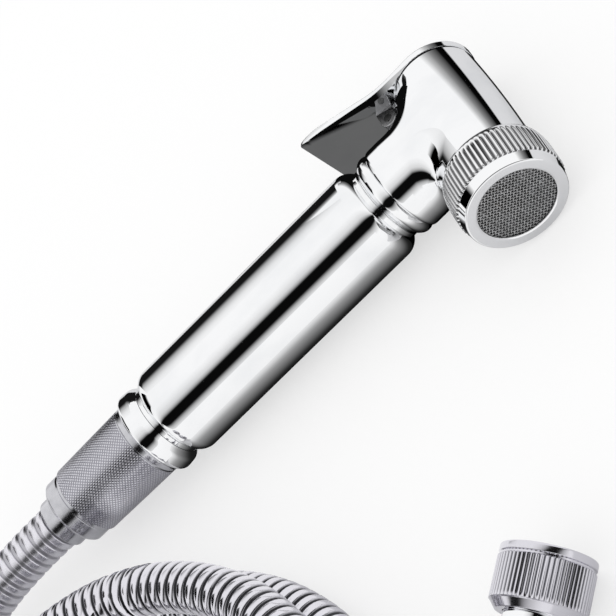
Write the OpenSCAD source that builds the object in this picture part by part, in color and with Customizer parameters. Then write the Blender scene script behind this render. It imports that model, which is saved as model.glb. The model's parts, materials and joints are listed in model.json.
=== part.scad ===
/* [Grip and collars] */
// Outside diameter of the grip
grip_d = 28.4; // [27:0.1:34]
// Length of the grip between its two collars
grip_len = 88.5; // [70:0.5:120]
// Wall of the grip's tube
grip_wall = 1.4; // [1:0.1:2.5]
// Rounding of the grip's two ends
grip_round = 5; // [3:0.5:6]
// Diameter of the narrow step at each end of the grip
step_d = 23.2; // [20:0.1:24]
// Height of that step
step_h = 0.6; // [0.3:0.1:1.5]
// Length of the rounded collar under the neck
collar_len = 5.1; // [4:0.1:7]
// Widest diameter of that collar
collar_d = 26.9; // [25:0.1:28]
// Diameter of that collar at the grip
collar_foot_d = 21.4; // [20:0.1:23]
// Length of the rounded collar at the grip's foot
inlet_len = 7.8; // [6:0.1:12]
// Widest diameter of that collar
inlet_d = 27.2; // [25:0.1:30]
// Diameter of that collar at its two edges
inlet_edge_d = 23.8; // [22:0.1:25]

/* [Head] */
// Distance from the barrel's axis down to the neck's end face
neck_reach = 24.8; // [22:0.1:32]
// Outside diameter of the neck
neck_d = 26.6; // [25:0.1:28]
// Distance from the handle's axis back to the barrel's rear rim
barrel_back = 19.4; // [19:0.1:24]
// Distance from the handle's axis forward to the barrel's shoulder
barrel_front = 13.6; // [12.5:0.1:18]
// Diameter of the barrel at its rear rim
barrel_rear_d = 24; // [23.5:0.1:26]
// Diameter of the barrel at its shoulder
barrel_d = 26.4; // [26:0.1:28]
// Diameter of the threaded spigot under the retaining ring
spigot_d = 25.2; // [24.5:0.1:25.6]
// Length of that spigot
spigot_len = 15.4; // [12:0.1:20]
// Wall of that spigot
spigot_wall = 1.8; // [1.4:0.1:3]

/* [Spray face] */
// Outside diameter of the fluted ring
ring_d = 31; // [30:0.1:36]
// Diameter of the ring's rear edge
ring_rear_d = 27; // [26.6:0.1:29]
// Length of the chamfer at that edge
ring_chamfer = 6; // [4:0.5:8]
// Length of the plain band in front of the flutes
band_len = 3.6; // [2:0.1:6]
// Number of flutes
flute_count = 66; // [40:1:90]
// Depth of a flute
flute_depth = 0.45; // [0.2:0.05:0.6]
// Diameter of the ring's face
face_d = 28.8; // [28:0.1:31]
// Opening in the ring's face, where the mesh shows
mesh_show_d = 22.5; // [20:0.1:23.5]
// Thickness of the ring's front lip
lip_t = 0.6; // [0.4:0.1:1]
// Inset of the mesh's and its support's edge from the spigot's outside
mesh_inset = 0.4; // [0.2:0.1:0.8]
// Thickness of the mesh
mesh_t = 0.8; // [0.5:0.1:1.2]
// Distance between the gaps of the mesh
mesh_pitch = 1.5; // [1.4:0.1:2.5]
// Width of the bars between the gaps
mesh_bar = 0.5; // [0.3:0.05:0.7]
// Thickness of the spoked support behind the mesh
support_t = 2; // [1.5:0.1:3]
// Thickness of the rubber gasket behind the support
gasket_t = 1.5; // [1:0.1:2]

/* [Lever] */
// Thickness of the plate behind the barrel
plate_t = 2.1; // [1.6:0.1:3]
// Thickness of the paddle
paddle_t = 2.8; // [2:0.1:3.4]
// Width of the plate across its arch
plate_w = 24.6; // [23:0.1:26]
// Width of the paddle at its tip
tip_w = 21.8; // [18:0.1:24]
// Rounding of the paddle's two corners
tip_round = 2.6; // [1.5:0.1:5]
// Height of the bend, down from the barrel's axis
bend_drop = 11.7; // [10:0.1:14]
// Angle between plate and paddle
bend_angle = 19; // [10:0.5:25]
// Radius of the bend on its outer side
bend_r = 29; // [15:0.5:40]
// Distance from the barrel's axis down to the paddle's tip
tip_drop = 37.9; // [32:0.1:48]
// Largest turn of the lever when it is pressed
lever_turn = 12; // [8:0.5:13]
// Distance of the hinge pin down from the barrel's axis
hinge_drop = 15; // [14.8:0.1:17]
// Distance of the hinge pin back from the handle's axis
hinge_back = 16.8; // [16.6:0.1:17]
// Diameter of the hinge pin
hinge_pin_d = 2.5; // [2:0.1:3]
// Radius of the knuckle and ears round the hinge pin
knuckle_r = 2.6; // [2.2:0.1:2.7]
// Width of the head's knuckle
knuckle_w = 7.2; // [5:0.1:9]
// Width of each ear of the lever
ear_w = 2.5; // [2:0.1:3.5]

/* [Valve] */
// Diameter of the valve chamber
chamber_d = 14; // [13:0.1:15]
// Diameter of the recess behind the gland nut
recess_d = 18.4; // [17.5:0.1:19]
// Depth of that recess
recess_depth = 5.9; // [5.6:0.1:7]
// Diameter of the gland nut
gland_d = 16; // [15.5:0.1:17]
// Length of the gland nut
gland_len = 5; // [4:0.1:6]
// Diameter of the valve stem
stem_d = 3.5; // [3:0.1:4]
// Diameter of the pin between stem and lever
stem_pin_d = 2; // [1.6:0.1:2.4]
// Diameter of the valve disc
disc_d = 10.4; // [9.5:0.1:11.5]
// Thickness of the valve disc
disc_t = 2.2; // [1.6:0.1:3]
// Thickness of the rubber valve washer
washer_t = 1.7; // [1.2:0.1:2.5]
// Opening of the valve seat
seat_bore_d = 6.4; // [6:0.1:8]
// Thickness of the valve seat
seat_t = 3; // [2:0.1:4]
// Distance of the seat's face in front of the handle's axis
seat_front = 6.5; // [6:0.1:7.5]
// Wire of the return spring
spring_wire_d = 0.9; // [0.6:0.1:1.2]
// Diameter of the return spring, wire middle to wire middle
spring_d = 8.8; // [7.5:0.1:9.5]
// Turns of the return spring
spring_turns = 5; // [3:1:6]

/* [Waterway] */
// Outside diameter of the water tube
tube_d = 13; // [12:0.1:14]
// Bore of the water tube
tube_bore_d = 8; // [6:0.1:9]
// Depth of the water tube in the neck
tube_in_neck = 11.6; // [9:0.1:12]
// Depth of the water tube in the foot collar
tube_in_inlet = 6; // [4:0.1:6.4]
// Thickness of the O-rings on the water tube
tube_ring_t = 1.32; // [1:0.02:1.6]
// Outside diameter of the pipe thread, G1/2
thread_d = 20.8; // [20:0.05:21]
// Length of the male pipe thread
thread_len = 11.3; // [8:0.1:14]

/* [Hose nuts] */
// Length of the fluted or cross-cut part of the hose nut
nut_len = 26.9; // [22:0.1:34]
// Diameter of the hose nut at its top
nut_top_d = 23.5; // [22.9:0.1:26]
// Diameter of the hose nut at its foot
nut_foot_d = 22.6; // [22.2:0.1:25]
// Length of the plain collar at the nut's foot
nut_collar_len = 5.6; // [4:0.1:8]
// Diameter of that collar
nut_collar_d = 21.4; // [20:0.1:22]
// Length of the end nut
end_nut_len = 16; // [14:0.1:22]
// Diameter of the end nut
end_nut_d = 24; // [23:0.1:26]
// Number of flutes on the end nut
end_flute_count = 60; // [40:1:80]
// Depth of the thread in the end nut
end_thread_len = 9; // [7:0.1:10]
// Thickness of the rubber washer in each nut
hose_washer_t = 2; // [1.5:0.1:2.5]
// Thickness of the flange of each hose nipple
flange_t = 2.2; // [1.6:0.1:3]
// Diameter of the crimped sleeves on the hose
ferrule_d = 16; // [15.6:0.1:17]
// Length of the handset's sleeve that shows
ferrule_show = 5; // [4:0.5:10]
// Length of the end sleeve that shows
end_ferrule_show = 12.5; // [10:0.5:24]
// Bore of the hose nipples
nipple_bore_d = 7; // [5:0.1:8]

/* [Hose] */
// Outside diameter of the hose
hose_d = 14; // [12:0.5:15]
// Diameter in the grooves between the ribs
groove_d = 12.6; // [11:0.1:14]
// Bore of the hose
hose_bore_d = 8; // [6:0.5:9]
// Distance from rib to rib
rib_pitch = 3.5; // [3:0.1:5]
// Radius of the coil's outer turn
coil_r = 88; // [84:1:89]
// Distance from turn to turn in one layer
turn_pitch = 14.8; // [14.5:0.1:15.5]
// Number of turns in the coil
coil_turns = 2.34; // [2.32:0.01:2.36]
// Thickness of the strap round the coil
tie_t = 0.6; // [0.4:0.1:0.8]
// Width of that strap
tie_w = 8; // [6:1:10]

/* [Hidden] */
$fn = 96;
// Clearance between pieces that turn or slide on each other
run_gap = 0.05;
// Clearance between pieces that sit in each other
seat_gap = 0.02;
// Clearance between flat faces of pieces that move past each other
face_gap = 0.3;
// Small overlap that joins shapes of one piece
join = 0.5;

grip_r = grip_d / 2;
step_r = step_d / 2;
collar_r = collar_d / 2;
neck_r = neck_d / 2;
spigot_r = spigot_d / 2;
outlet_r = spigot_r - spigot_wall;
mesh_r = spigot_r - mesh_inset;
ring_r = ring_d / 2;
tube_r = tube_d / 2;
socket_r = tube_r + run_gap;
thread_r = thread_d / 2;
nut_bore_r = thread_r + run_gap;
ferrule_r = ferrule_d / 2;
ferrule_hole_r = ferrule_r + run_gap;
hose_r = hose_d / 2;
stem_r = stem_d / 2;
chamber_r = chamber_d / 2;

// Places along the handle, measured from the barrel's axis, down the handle
collar_at = neck_reach;
grip_at = collar_at + collar_len;
inlet_at = grip_at + grip_len;
thread_at = inlet_at + step_h + inlet_len;
nut_at = thread_at + face_gap;
nut_collar_at = nut_at + nut_len;
nut_end = nut_collar_at + nut_collar_len;
hose_exit = nut_end + ferrule_show;
thread_end = thread_at + thread_len;
washer_at = thread_end + run_gap;
flange_at = washer_at + hose_washer_t + run_gap;
flange_end = flange_at + flange_t;
tube_top = neck_reach - tube_in_neck;
tube_end = inlet_at + tube_in_inlet;

// Places along the barrel, measured from the handle's axis towards the face
gland_at = recess_depth - barrel_back;
gland_end = gland_at + gland_len;
seat_lip = 0.5;
washer_face = seat_front - seat_lip - run_gap;
washer_back = washer_face - washer_t;
disc_back = washer_back - run_gap - disc_t;
seat_end = seat_front + seat_t;
outlet_at = 14;
spigot_end = barrel_front + spigot_len;
gasket_at = spigot_end + run_gap;
support_at = gasket_at + gasket_t + run_gap;
mesh_at = support_at + support_t + run_gap;
lip_at = mesh_at + mesh_t + 0.1;
face_at = lip_at + lip_t;
ring_at = barrel_front + 0.2;
flute_end = face_at - band_len;
plate_in = barrel_back + face_gap;
plate_out = plate_in + plate_t;

// The paddle's tip, measured back from the handle's axis
lever_reach = plate_out + (tip_drop - bend_drop) * tan(bend_angle);

// The origin is below the middle of the handset, on the surface that it lies on
rest_r = ring_r;
middle_x = (rest_r - hose_exit) / 2;
middle_y = (lever_reach - face_at) / 2;
shift = [-middle_x, -middle_y, rest_r];

// Hose: the coil's middle and first direction, from the crossing of handle and barrel
coil_middle = [-181, -114];
coil_start = 160;
tie_gap = 0.5;
coil_z = hose_r + tie_t + tie_gap - rest_r;
layer_lift = hose_d + 0.6;
inward_turns = 1.25;
climb_from = 1;
climb_to = 1.5;
loop_rings = 24;
loop_sides = 6;
rib_sides = 8;
spring_rings = 8;
spring_sides = 6;
tie_angle = coil_start + 360 / loop_rings;

// Hose between handset and coil: points chosen along a free bend
run_route = [[-193.5, -1.1, -0.5], [-208.8, -4.2, -2.1], [-224, -10.5, -4], [-236.1, -18.8, -5.7],
    [-245.9, -29.3, -6.9], [-253.2, -41.7, -7.3]];
// Hose between coil and end nut: points chosen along its way down to the surface
tail_route = [[-118.3, -188.4, 5.7], [-104.2, -181.7, 3.3], [-91.9, -172.1, 0.3], [-79.8, -158.7, -2.7]];
// Foot of the end sleeve and the direction of the end nut
end_foot = [-62, -139.5, end_nut_d / 2 - rest_r];
end_heading = 45;

// ---- placing ----

// Stands what is drawn from the crossing of the two axes on the surface
module stand() {
    translate(shift) children();
}

// Turns Z to run down the handle, away from the head
module along_handle() {
    stand() rotate([0, -90, 0]) children();
}

// Turns Z to run along the barrel, towards the spray face, with X up the handle
module along_barrel() {
    stand() rotate([90, 0, 0]) children();
}

// Turns Z to run along the end nut, out of its mouth
module along_end() {
    stand() translate(end_foot) rotate([0, 0, end_heading]) rotate([0, 90, 0]) children();
}

// A pin across the barrel, at a place back and down from the crossing
module cross_pin(back, down, r, w) {
    translate([-down, 0, -back]) rotate([90, 0, 0]) cylinder(r = r, h = w, center = true);
}

// ---- shared shapes ----

module tube(r, bore_r, from, to) {
    difference() {
        translate([0, 0, from]) cylinder(r = r, h = to - from);
        translate([0, 0, from - 1]) cylinder(r = bore_r, h = to - from + 2);
    }
}

module hole(r, from, to) {
    translate([0, 0, from]) cylinder(r = r, h = to - from);
}

// Half section of a round bar with rounded ends
module round_bar_section(r, from, to, f) {
    translate([0, from]) square([r - f, to - from]);
    translate([0, from + f]) square([r, to - from - 2 * f]);
    translate([r - f, from + f]) circle(r = f, $fn = 48);
    translate([r - f, to - f]) circle(r = f, $fn = 48);
}

// Radius of the arc through a bead's widest point and its edge
function bead_arc(sag, half) = (half * half + sag * sag) / (2 * sag);

// Half section of a bead: widest at `at`, one arc, cut at from and to
module bead_section(widest, arc, at, from, to) {
    translate([0, from]) square([widest - arc, to - from]);
    intersection() {
        translate([widest - arc, at]) circle(r = arc);
        translate([0, from]) square([widest, to - from]);
    }
}

// Outline with straight flutes round it
module fluted_outline(r, count, depth) {
    polygon([for (k = [0:2 * count - 1]) let(a = 90 + 180 * k / count, q = k % 2 == 0 ? r : r - depth)
        [q * cos(a), q * sin(a)]]);
}

module o_ring(middle_r, thick, at) {
    translate([0, 0, at]) rotate_extrude() translate([middle_r, 0]) circle(d = thick, $fn = 32);
}

// ---- swept tubes ----

function unit(v) = v / norm(v);
function last(v) = v[len(v) - 1];
function drop_z(v) = [v[0], v[1]];

// Points of one ring round a centre, square to a direction
function ring_points(c, t, r, sides) =
    let(s = unit(cross(t, [0, 0, 1])), n = cross(s, t))
    [for (k = [0:sides - 1]) let(a = 360 * (k + 0.5) / sides) c + r * (cos(a) * s + sin(a) * n)];

// Directions along a row of points
function headings(p) = [for (k = [0:len(p) - 1])
    unit(p[min(k + 1, len(p) - 1)] - p[max(k - 1, 0)])];

// A smooth curve through route points, `steps` pieces from each point to the next
function curve_at(a, b, c, d, q) = 0.5 * (2 * b + (c - a) * q + (2 * a - 5 * b + 4 * c - d) * q * q
    + (3 * b - a - 3 * c + d) * q * q * q);
function smooth_route(p, steps) = [
    for (k = [0:len(p) - 2], j = [0:steps - 1])
        curve_at(p[max(k - 1, 0)], p[k], p[k + 1], p[min(k + 2, len(p) - 1)], j / steps),
    last(p)];

// Length along a row of points up to each of them
function run_lengths(p, k = 0, sum = 0, out = []) =
    k == len(p) ? out
    : let(now = k == 0 ? 0 : sum + norm(p[k] - p[k - 1])) run_lengths(p, k + 1, now, concat(out, [now]));

// The point at a length along a row of points
function point_at(p, lengths, s) =
    s <= 0 ? p[0]
    : s >= last(lengths) ? last(p)
    : let(k = max([for (j = [0:len(p) - 2]) lengths[j] <= s ? j : 0]))
        p[k] + (p[k + 1] - p[k]) * (s - lengths[k]) / (lengths[k + 1] - lengths[k]);

// Triangles of a skin between rings, of `sides` points each, the first at `base`
function skin(rings, sides, base, flip) = [
    for (k = [0:rings - 2], j = [0:sides - 1], half = [0, 1])
        let(a = base + k * sides + j, b = base + k * sides + (j + 1) % sides, c = a + sides, d = b + sides,
            f = half == 0 ? [a, b, d] : [a, d, c])
        flip ? [f[2], f[1], f[0]] : f];

// Triangles of a fan that closes a ring
function fan(base, sides, flip) = [for (j = [1:sides - 2])
    flip ? [base, base + j + 1, base + j] : [base, base + j, base + j + 1]];

// Triangles between an outer and an inner ring
function annulus(outer, inner, sides, flip) = [
    for (j = [0:sides - 1], half = [0, 1])
        let(a = outer + j, b = outer + (j + 1) % sides, c = inner + j, d = inner + (j + 1) % sides,
            f = half == 0 ? [a, b, d] : [a, d, c])
        flip ? [f[2], f[1], f[0]] : f];

// A solid tube along a row of points
module solid_sweep(p, r, sides) {
    t = headings(p);
    points = [for (k = [0:len(p) - 1]) each ring_points(p[k], t[k], r, sides)];
    polyhedron(points, concat(skin(len(p), sides, 0, false), fan(0, sides, true),
        fan((len(p) - 1) * sides, sides, false)));
}

// A plain tube with a bore along a row of points
module bored_sweep(p, r, bore_r, sides) {
    t = headings(p);
    count = len(p) * sides;
    points = [for (q = [r, bore_r], k = [0:len(p) - 1]) each ring_points(p[k], t[k], q, sides)];
    polyhedron(points, concat(skin(len(p), sides, 0, false), skin(len(p), sides, count, true),
        annulus(0, count, sides, true), annulus(count - sides, 2 * count - sides, sides, false)));
}

// A ribbed hose with a bore along a route
module ribbed_sweep(route) {
    p = smooth_route(route, 8);
    lengths = run_lengths(p);
    ribs = round(last(lengths) / rib_pitch);
    step = last(lengths) / (2 * ribs);
    outer = [for (k = [0:2 * ribs]) point_at(p, lengths, k * step)];
    t = headings(outer);
    skin_points = [for (k = [0:2 * ribs]) each ring_points(outer[k], t[k],
        (k % 2 == 0 ? groove_d : hose_d) / 2, rib_sides)];
    bore_every = 8;
    bore_rings = [for (k = [0:2 * ribs])
        if (k % bore_every == 0 && k < 2 * ribs - bore_every / 2 || k == 2 * ribs) k];
    bore_points = [for (k = bore_rings) each ring_points(outer[k], t[k], hose_bore_d / 2, rib_sides)];
    base = len(skin_points);
    ends = [(2 * ribs) * rib_sides, base + (len(bore_rings) - 1) * rib_sides];
    polyhedron(concat(skin_points, bore_points), concat(
        skin(2 * ribs + 1, rib_sides, 0, false), skin(len(bore_rings), rib_sides, base, true),
        annulus(0, base, rib_sides, true), annulus(ends[0], ends[1], rib_sides, false)));
}

// ---- the coil's way ----

function ease(q) = q * q * (3 - 2 * q);
function turn_r(f) = f < inward_turns ? coil_r - turn_pitch * f
    : coil_r - turn_pitch * (2 * inward_turns - f);
function turn_z(f) = coil_z + layer_lift * ease(max(0, min(1, (f - climb_from) / (climb_to - climb_from))));
function turn_point(f) = [coil_middle[0] + turn_r(f) * cos(coil_start + 360 * f),
    coil_middle[1] + turn_r(f) * sin(coil_start + 360 * f), turn_z(f)];
turn_points = [for (k = [0:ceil(coil_turns * loop_rings)]) turn_point(min(coil_turns, k / loop_rings))];
coil_first = unit(turn_points[1] - turn_points[0]);
coil_last = unit(drop_z(last(turn_points) - turn_points[len(turn_points) - 2]));
coil_in = turn_points[0] - hose_d * coil_first;
coil_out = last(turn_points) + hose_d * [coil_last[0], coil_last[1], 0];
coil_points = concat([coil_in], turn_points, [coil_out]);

// Least distance between stretches of the coil that lie beside or on each other
coil_gap = min([for (a = [0:len(coil_points) - 1], b = [0:len(coil_points) - 1])
    if (b - a > loop_rings / 2) norm(coil_points[a] - coil_points[b])]) - hose_d;
echo(coil_gap = coil_gap);

end_direction = [cos(end_heading), sin(end_heading), 0];
run_points = concat([[-hose_exit, 0, 0], [-hose_exit - hose_d, 0, 0]], run_route,
    [coil_in - hose_d * coil_first, coil_in]);
tail_points = concat([coil_out, coil_out + hose_d * [coil_last[0], coil_last[1], 0]], tail_route,
    [end_foot - hose_d * end_direction, end_foot]);
hose_length = last(run_lengths(smooth_route(run_points, 8))) + last(run_lengths(coil_points))
    + last(run_lengths(smooth_route(tail_points, 8)));
echo(hose_length = hose_length);

// ---- handset ----

module head_solid() {
    along_barrel() {
        translate([0, 0, -barrel_back])
            cylinder(d1 = barrel_rear_d, d2 = barrel_d, h = barrel_back);
        cylinder(d = barrel_d, h = barrel_front);
        cylinder(r = spigot_r, h = spigot_end);
        cross_pin(hinge_back, hinge_drop, knuckle_r, knuckle_w);
        translate([-hinge_drop - knuckle_r, -knuckle_w / 2, -hinge_back])
            cube([2 * knuckle_r + 1, knuckle_w, hinge_back - neck_r + 3]);
    }
    along_handle() {
        cylinder(r = neck_r, h = neck_reach - 0.8);
        translate([0, 0, neck_reach - 0.8]) cylinder(r1 = neck_r, r2 = neck_r - 0.6, h = 0.8);
    }
}

module head_body() color("gainsboro") {
    difference() {
        head_solid();
        along_barrel() {
            hole(recess_d / 2, -barrel_back - 1, gland_at);
            hole(gland_d / 2, -barrel_back - 1, gland_end);
            hole(chamber_r, -barrel_back - 1, seat_end);
            hole(5, 0, outlet_at + 1);
            hole(outlet_r, outlet_at, spigot_end + 1);
            cross_pin(hinge_back, hinge_drop, hinge_pin_d / 2 + seat_gap, knuckle_w + 2);
        }
        along_handle() {
            hole(tube_bore_d / 2, 0, neck_reach);
            hole(socket_r, tube_top, neck_reach + 1);
        }
    }
}

module neck_collar() color("gainsboro") along_handle() {
    widest_at = collar_at + 1.8;
    arc = bead_arc((collar_d - collar_foot_d) / 2, grip_at - widest_at);
    difference() {
        rotate_extrude() bead_section(collar_r, arc, widest_at, collar_at, grip_at);
        hole(socket_r, collar_at - 1, grip_at + 1);
    }
}

module grip_sleeve() color("whitesmoke") along_handle() {
    from = grip_at + step_h;
    to = inlet_at - step_h * 0.5;
    difference() {
        union() {
            rotate_extrude() round_bar_section(grip_r, from, to, grip_round);
            hole(step_r, grip_at, inlet_at);
        }
        rotate_extrude() round_bar_section(grip_r - grip_wall, from + grip_wall, to - grip_wall,
            grip_round - grip_wall);
        hole(socket_r, grip_at - 1, inlet_at + 1);
    }
}

module inlet_collar() color("gainsboro") along_handle() {
    from = inlet_at + step_h;
    arc = bead_arc((inlet_d - inlet_edge_d) / 2, inlet_len / 2);
    difference() {
        union() {
            hole(step_r, inlet_at, from + join);
            rotate_extrude() bead_section(inlet_d / 2, arc, from + inlet_len / 2, from, thread_at);
            hole(thread_r, from + join, thread_end);
        }
        hole(socket_r, inlet_at - 1, tube_end + run_gap);
        hole(tube_bore_d / 2, inlet_at, thread_end + 1);
    }
}

tube_ring_inset = 4;
tube_groove_r = socket_r - tube_ring_t - seat_gap;

module water_tube() color("tan") along_handle() {
    difference() {
        tube(tube_r, tube_bore_d / 2, tube_top + run_gap, tube_end);
        for (at = [tube_top + tube_ring_inset, tube_end - tube_ring_inset * 0.6])
            tube(tube_r + 1, tube_groove_r, at - 0.9, at + 0.9);
    }
}

module upper_o_ring() color("dimgray") along_handle() {
    o_ring(tube_groove_r + tube_ring_t / 2 + seat_gap / 2, tube_ring_t, tube_top + tube_ring_inset);
}

module lower_o_ring() color("dimgray") along_handle() {
    o_ring(tube_groove_r + tube_ring_t / 2 + seat_gap / 2, tube_ring_t, tube_end - tube_ring_inset * 0.6);
}

// ---- spray face ----

module retaining_ring() color("silver") along_barrel() {
    band_r = ring_r - 0.25;
    difference() {
        union() {
            intersection() {
                translate([0, 0, ring_at]) linear_extrude(flute_end - ring_at)
                    fluted_outline(ring_r, flute_count, flute_depth);
                union() {
                    translate([0, 0, ring_at])
                        cylinder(d1 = ring_rear_d, r2 = ring_r + 0.4, h = ring_chamfer);
                    hole(ring_r + 1, ring_at + ring_chamfer, flute_end);
                }
            }
            translate([0, 0, flute_end])
                cylinder(r1 = band_r, r2 = band_r - 0.25, h = face_at - flute_end - 1);
            translate([0, 0, face_at - 1]) cylinder(r1 = band_r - 0.25, d2 = face_d, h = 1);
        }
        hole(spigot_r + run_gap, ring_at - 1, lip_at);
        hole(mesh_show_d / 2, lip_at - 1, face_at + 1);
    }
}

module spray_mesh() color("dimgray") along_barrel() {
    reach = floor(mesh_show_d / 2 / mesh_pitch);
    gap = mesh_pitch - mesh_bar;
    translate([0, 0, mesh_at]) linear_extrude(mesh_t) difference() {
        circle(r = mesh_r);
        for (i = [-reach:reach], j = [-reach:reach])
            if (norm([i, j]) * mesh_pitch + gap < mesh_show_d / 2)
                translate([i, j] * mesh_pitch) square(gap, center = true);
    }
}

module mesh_support() color("silver") along_barrel() {
    spokes = 3;
    difference() {
        hole(mesh_r, support_at, support_at + support_t);
        hole(outlet_r, support_at - 1, support_at + support_t + 1);
    }
    for (k = [0:spokes - 1]) rotate(180 * k / spokes)
        translate([-outlet_r - join, -0.6, support_at])
            cube([2 * (outlet_r + join), 1.2, support_t]);
    hole(2.2, support_at, support_at + support_t);
}

module face_gasket() color("dimgray") along_barrel() {
    tube(mesh_r - 0.1, outlet_r, gasket_at, gasket_at + gasket_t);
}

// ---- lever ----

// Side outline of the lever: x is up the handle, y is forward
module lever_side() {
    lean = tan(bend_angle);
    start = bend_drop - bend_r * tan(bend_angle / 2);
    steps = 8;
    thick = paddle_t / cos(bend_angle);
    corner_drop = bend_drop + (plate_in - plate_out + thick) / lean;
    bend = [for (k = [0:steps]) let(a = bend_angle * k / steps)
        [-start - bend_r * sin(a), -plate_out - bend_r * (1 - cos(a))]];
    tip_inner = [-tip_drop, -lever_reach + thick];
    polygon(concat([[plate_w / 2 + 1, -plate_out]], bend, [[-tip_drop, -lever_reach], tip_inner,
        [-corner_drop, -plate_in], [plate_w / 2 + 1, -plate_in]]));
}

// Outline of the lever seen from behind: x is up the handle
module lever_outline() {
    half = plate_w / 2;
    tip = tip_w / 2;
    corner = [-tip_drop + tip_round, tip - tip_round];
    circle(r = half);
    polygon([[0, half], [corner[0], tip], [corner[0], -tip], [0, -half]]);
    translate([-tip_drop, -corner[1]]) square([tip_round + join, 2 * corner[1]]);
    for (s = [-1, 1]) translate([corner[0], s * corner[1]]) circle(r = tip_round);
}

lug_gap = 0.15;
lug_w = 2;
lug_half = 2.4;
eye_w = 4;
eye_half = 2.6;
pin_back = hinge_back;

module lever() color("lightgray") along_barrel() {
    ear_from = knuckle_w / 2 + 0.1;
    ear_foot = plate_in + plate_t * 0.8;
    difference() {
        union() {
            intersection() {
                rotate([90, 0, 0]) linear_extrude(plate_w + 2, center = true) lever_side();
                translate([0, 0, -lever_reach - 1]) linear_extrude(lever_reach) lever_outline();
            }
            for (s = [-1, 1]) {
                translate([0, s * (ear_from + ear_w / 2), 0])
                    cross_pin(hinge_back, hinge_drop, knuckle_r, ear_w);
                translate([-hinge_drop - knuckle_r, s * (ear_from + ear_w / 2) - ear_w / 2, -ear_foot])
                    cube([2 * knuckle_r, ear_w, ear_foot - hinge_back]);
                translate([-lug_half, s * (eye_w / 2 + lug_gap + lug_w / 2) - lug_w / 2, -plate_in - join])
                    cube([2 * lug_half, lug_w, plate_in + join - pin_back + stem_pin_d / 2 + 1.2]);
            }
        }
        cross_pin(hinge_back, hinge_drop, hinge_pin_d / 2 + run_gap, plate_w);
        cross_pin(pin_back, 0, stem_pin_d / 2 + seat_gap, 2 * (lug_w + eye_w));
    }
}

module hinge_pin() color("darkgray") along_barrel() {
    cross_pin(hinge_back, hinge_drop, hinge_pin_d / 2, knuckle_w + 2 * ear_w + 0.2);
}

module stem_pin() color("darkgray") along_barrel() {
    cross_pin(pin_back, 0, stem_pin_d / 2, eye_w + 2 * (lug_gap + lug_w));
}

// ---- valve ----

screw_r = 1;
screw_deep = 4.5;

module valve_stem() color("goldenrod") along_barrel() {
    slot_r = stem_pin_d / 2 + 0.1;
    eye_front = -pin_back + stem_pin_d / 2 + 1.2;
    difference() {
        union() {
            hole(stem_r, eye_front - join, disc_back);
            translate([-eye_half, -eye_w / 2, -pin_back - stem_pin_d / 2 - 0.9])
                cube([2 * eye_half, eye_w, eye_front + pin_back + stem_pin_d / 2 + 0.9]);
        }
        for (s = [-1, 1]) cross_pin(pin_back, s * 0.4, slot_r, eye_w + 2);
        translate([-0.4, -eye_w, -pin_back - slot_r]) cube([0.8, 2 * eye_w, 2 * slot_r]);
        hole(screw_r + seat_gap, disc_back - screw_deep, disc_back + 1);
    }
}

module valve_disc() color("goldenrod") along_barrel() {
    tube(disc_d / 2, screw_r + seat_gap, disc_back, disc_back + disc_t);
}

module valve_washer() color("dimgray") along_barrel() {
    tube(disc_d / 2 - 0.2, screw_r + seat_gap, washer_back, washer_face);
}

module washer_screw() color("darkgray") along_barrel() {
    head_r = 2.4;
    head_t = 1.2;
    difference() {
        union() {
            hole(screw_r, disc_back - screw_deep + 0.3, washer_face + join);
            hole(head_r, washer_face, washer_face + head_t);
        }
        translate([-0.3, -head_r - 1, washer_face + head_t - 0.5]) cube([0.6, 2 * head_r + 2, 1]);
    }
}

module valve_seat() color("goldenrod") along_barrel() {
    tube(chamber_r - seat_gap, seat_bore_d / 2, seat_front, seat_end);
    tube(seat_bore_d / 2 + 1, seat_bore_d / 2, seat_front - seat_lip, seat_front + join);
}

module valve_spring() color("silver") along_barrel() {
    wire_r = spring_wire_d / 2;
    from = gland_end + wire_r + run_gap;
    to = disc_back - wire_r - run_gap;
    count = spring_turns * spring_rings;
    helix = [for (k = [0:count]) let(a = 360 * k / spring_rings)
        [spring_d / 2 * cos(a), spring_d / 2 * sin(a), from + (to - from) * k / count]];
    echo(spring_gap = (to - from) / spring_turns - spring_wire_d);
    solid_sweep(helix, wire_r, spring_sides);
}

gland_ring_t = 1.74;
gland_groove_r = stem_r + gland_ring_t + 2 * seat_gap;
gland_ring_at = gland_at + gland_len / 2;

module gland_nut() color("goldenrod") along_barrel() {
    difference() {
        tube(gland_d / 2 - seat_gap, stem_r + run_gap, gland_at, gland_end);
        hole(gland_groove_r, gland_ring_at - 0.95, gland_ring_at + 0.95);
        translate([-gland_d, -0.8, gland_at - 1]) cube([2 * gland_d, 1.6, 2]);
    }
}

module stem_o_ring() color("dimgray") along_barrel() {
    o_ring(stem_r + gland_ring_t / 2 + seat_gap, gland_ring_t, gland_ring_at);
}

// ---- hose fittings ----

relief_gap = 0.3;

module hose_nut() color("silver") along_handle() {
    band = 3.5;
    difference() {
        union() {
            hole(nut_top_d / 2, nut_at, nut_at + band);
            translate([0, 0, nut_at + band])
                cylinder(d1 = nut_top_d - 0.2, d2 = nut_foot_d, h = nut_len - band - 0.3);
            hole(nut_collar_d / 2 - 0.4, nut_collar_at - 1, nut_end - 0.7);
            hole(nut_collar_d / 2, nut_collar_at, nut_end - 0.7);
            translate([0, 0, nut_end - 0.7])
                cylinder(d1 = nut_collar_d, d2 = nut_collar_d - 1.4, h = 0.7);
        }
        hole(nut_bore_r, nut_at - 1, thread_end);
        hole(thread_r - 0.2, nut_at, flange_end + run_gap);
        hole(ferrule_hole_r, nut_at, nut_end + 1);
    }
}

// Rubber washer, from `at` on
module pipe_washer(at) {
    tube(thread_r - 0.2 - relief_gap, nipple_bore_d / 2 + 1, at, at + hose_washer_t);
}

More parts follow.
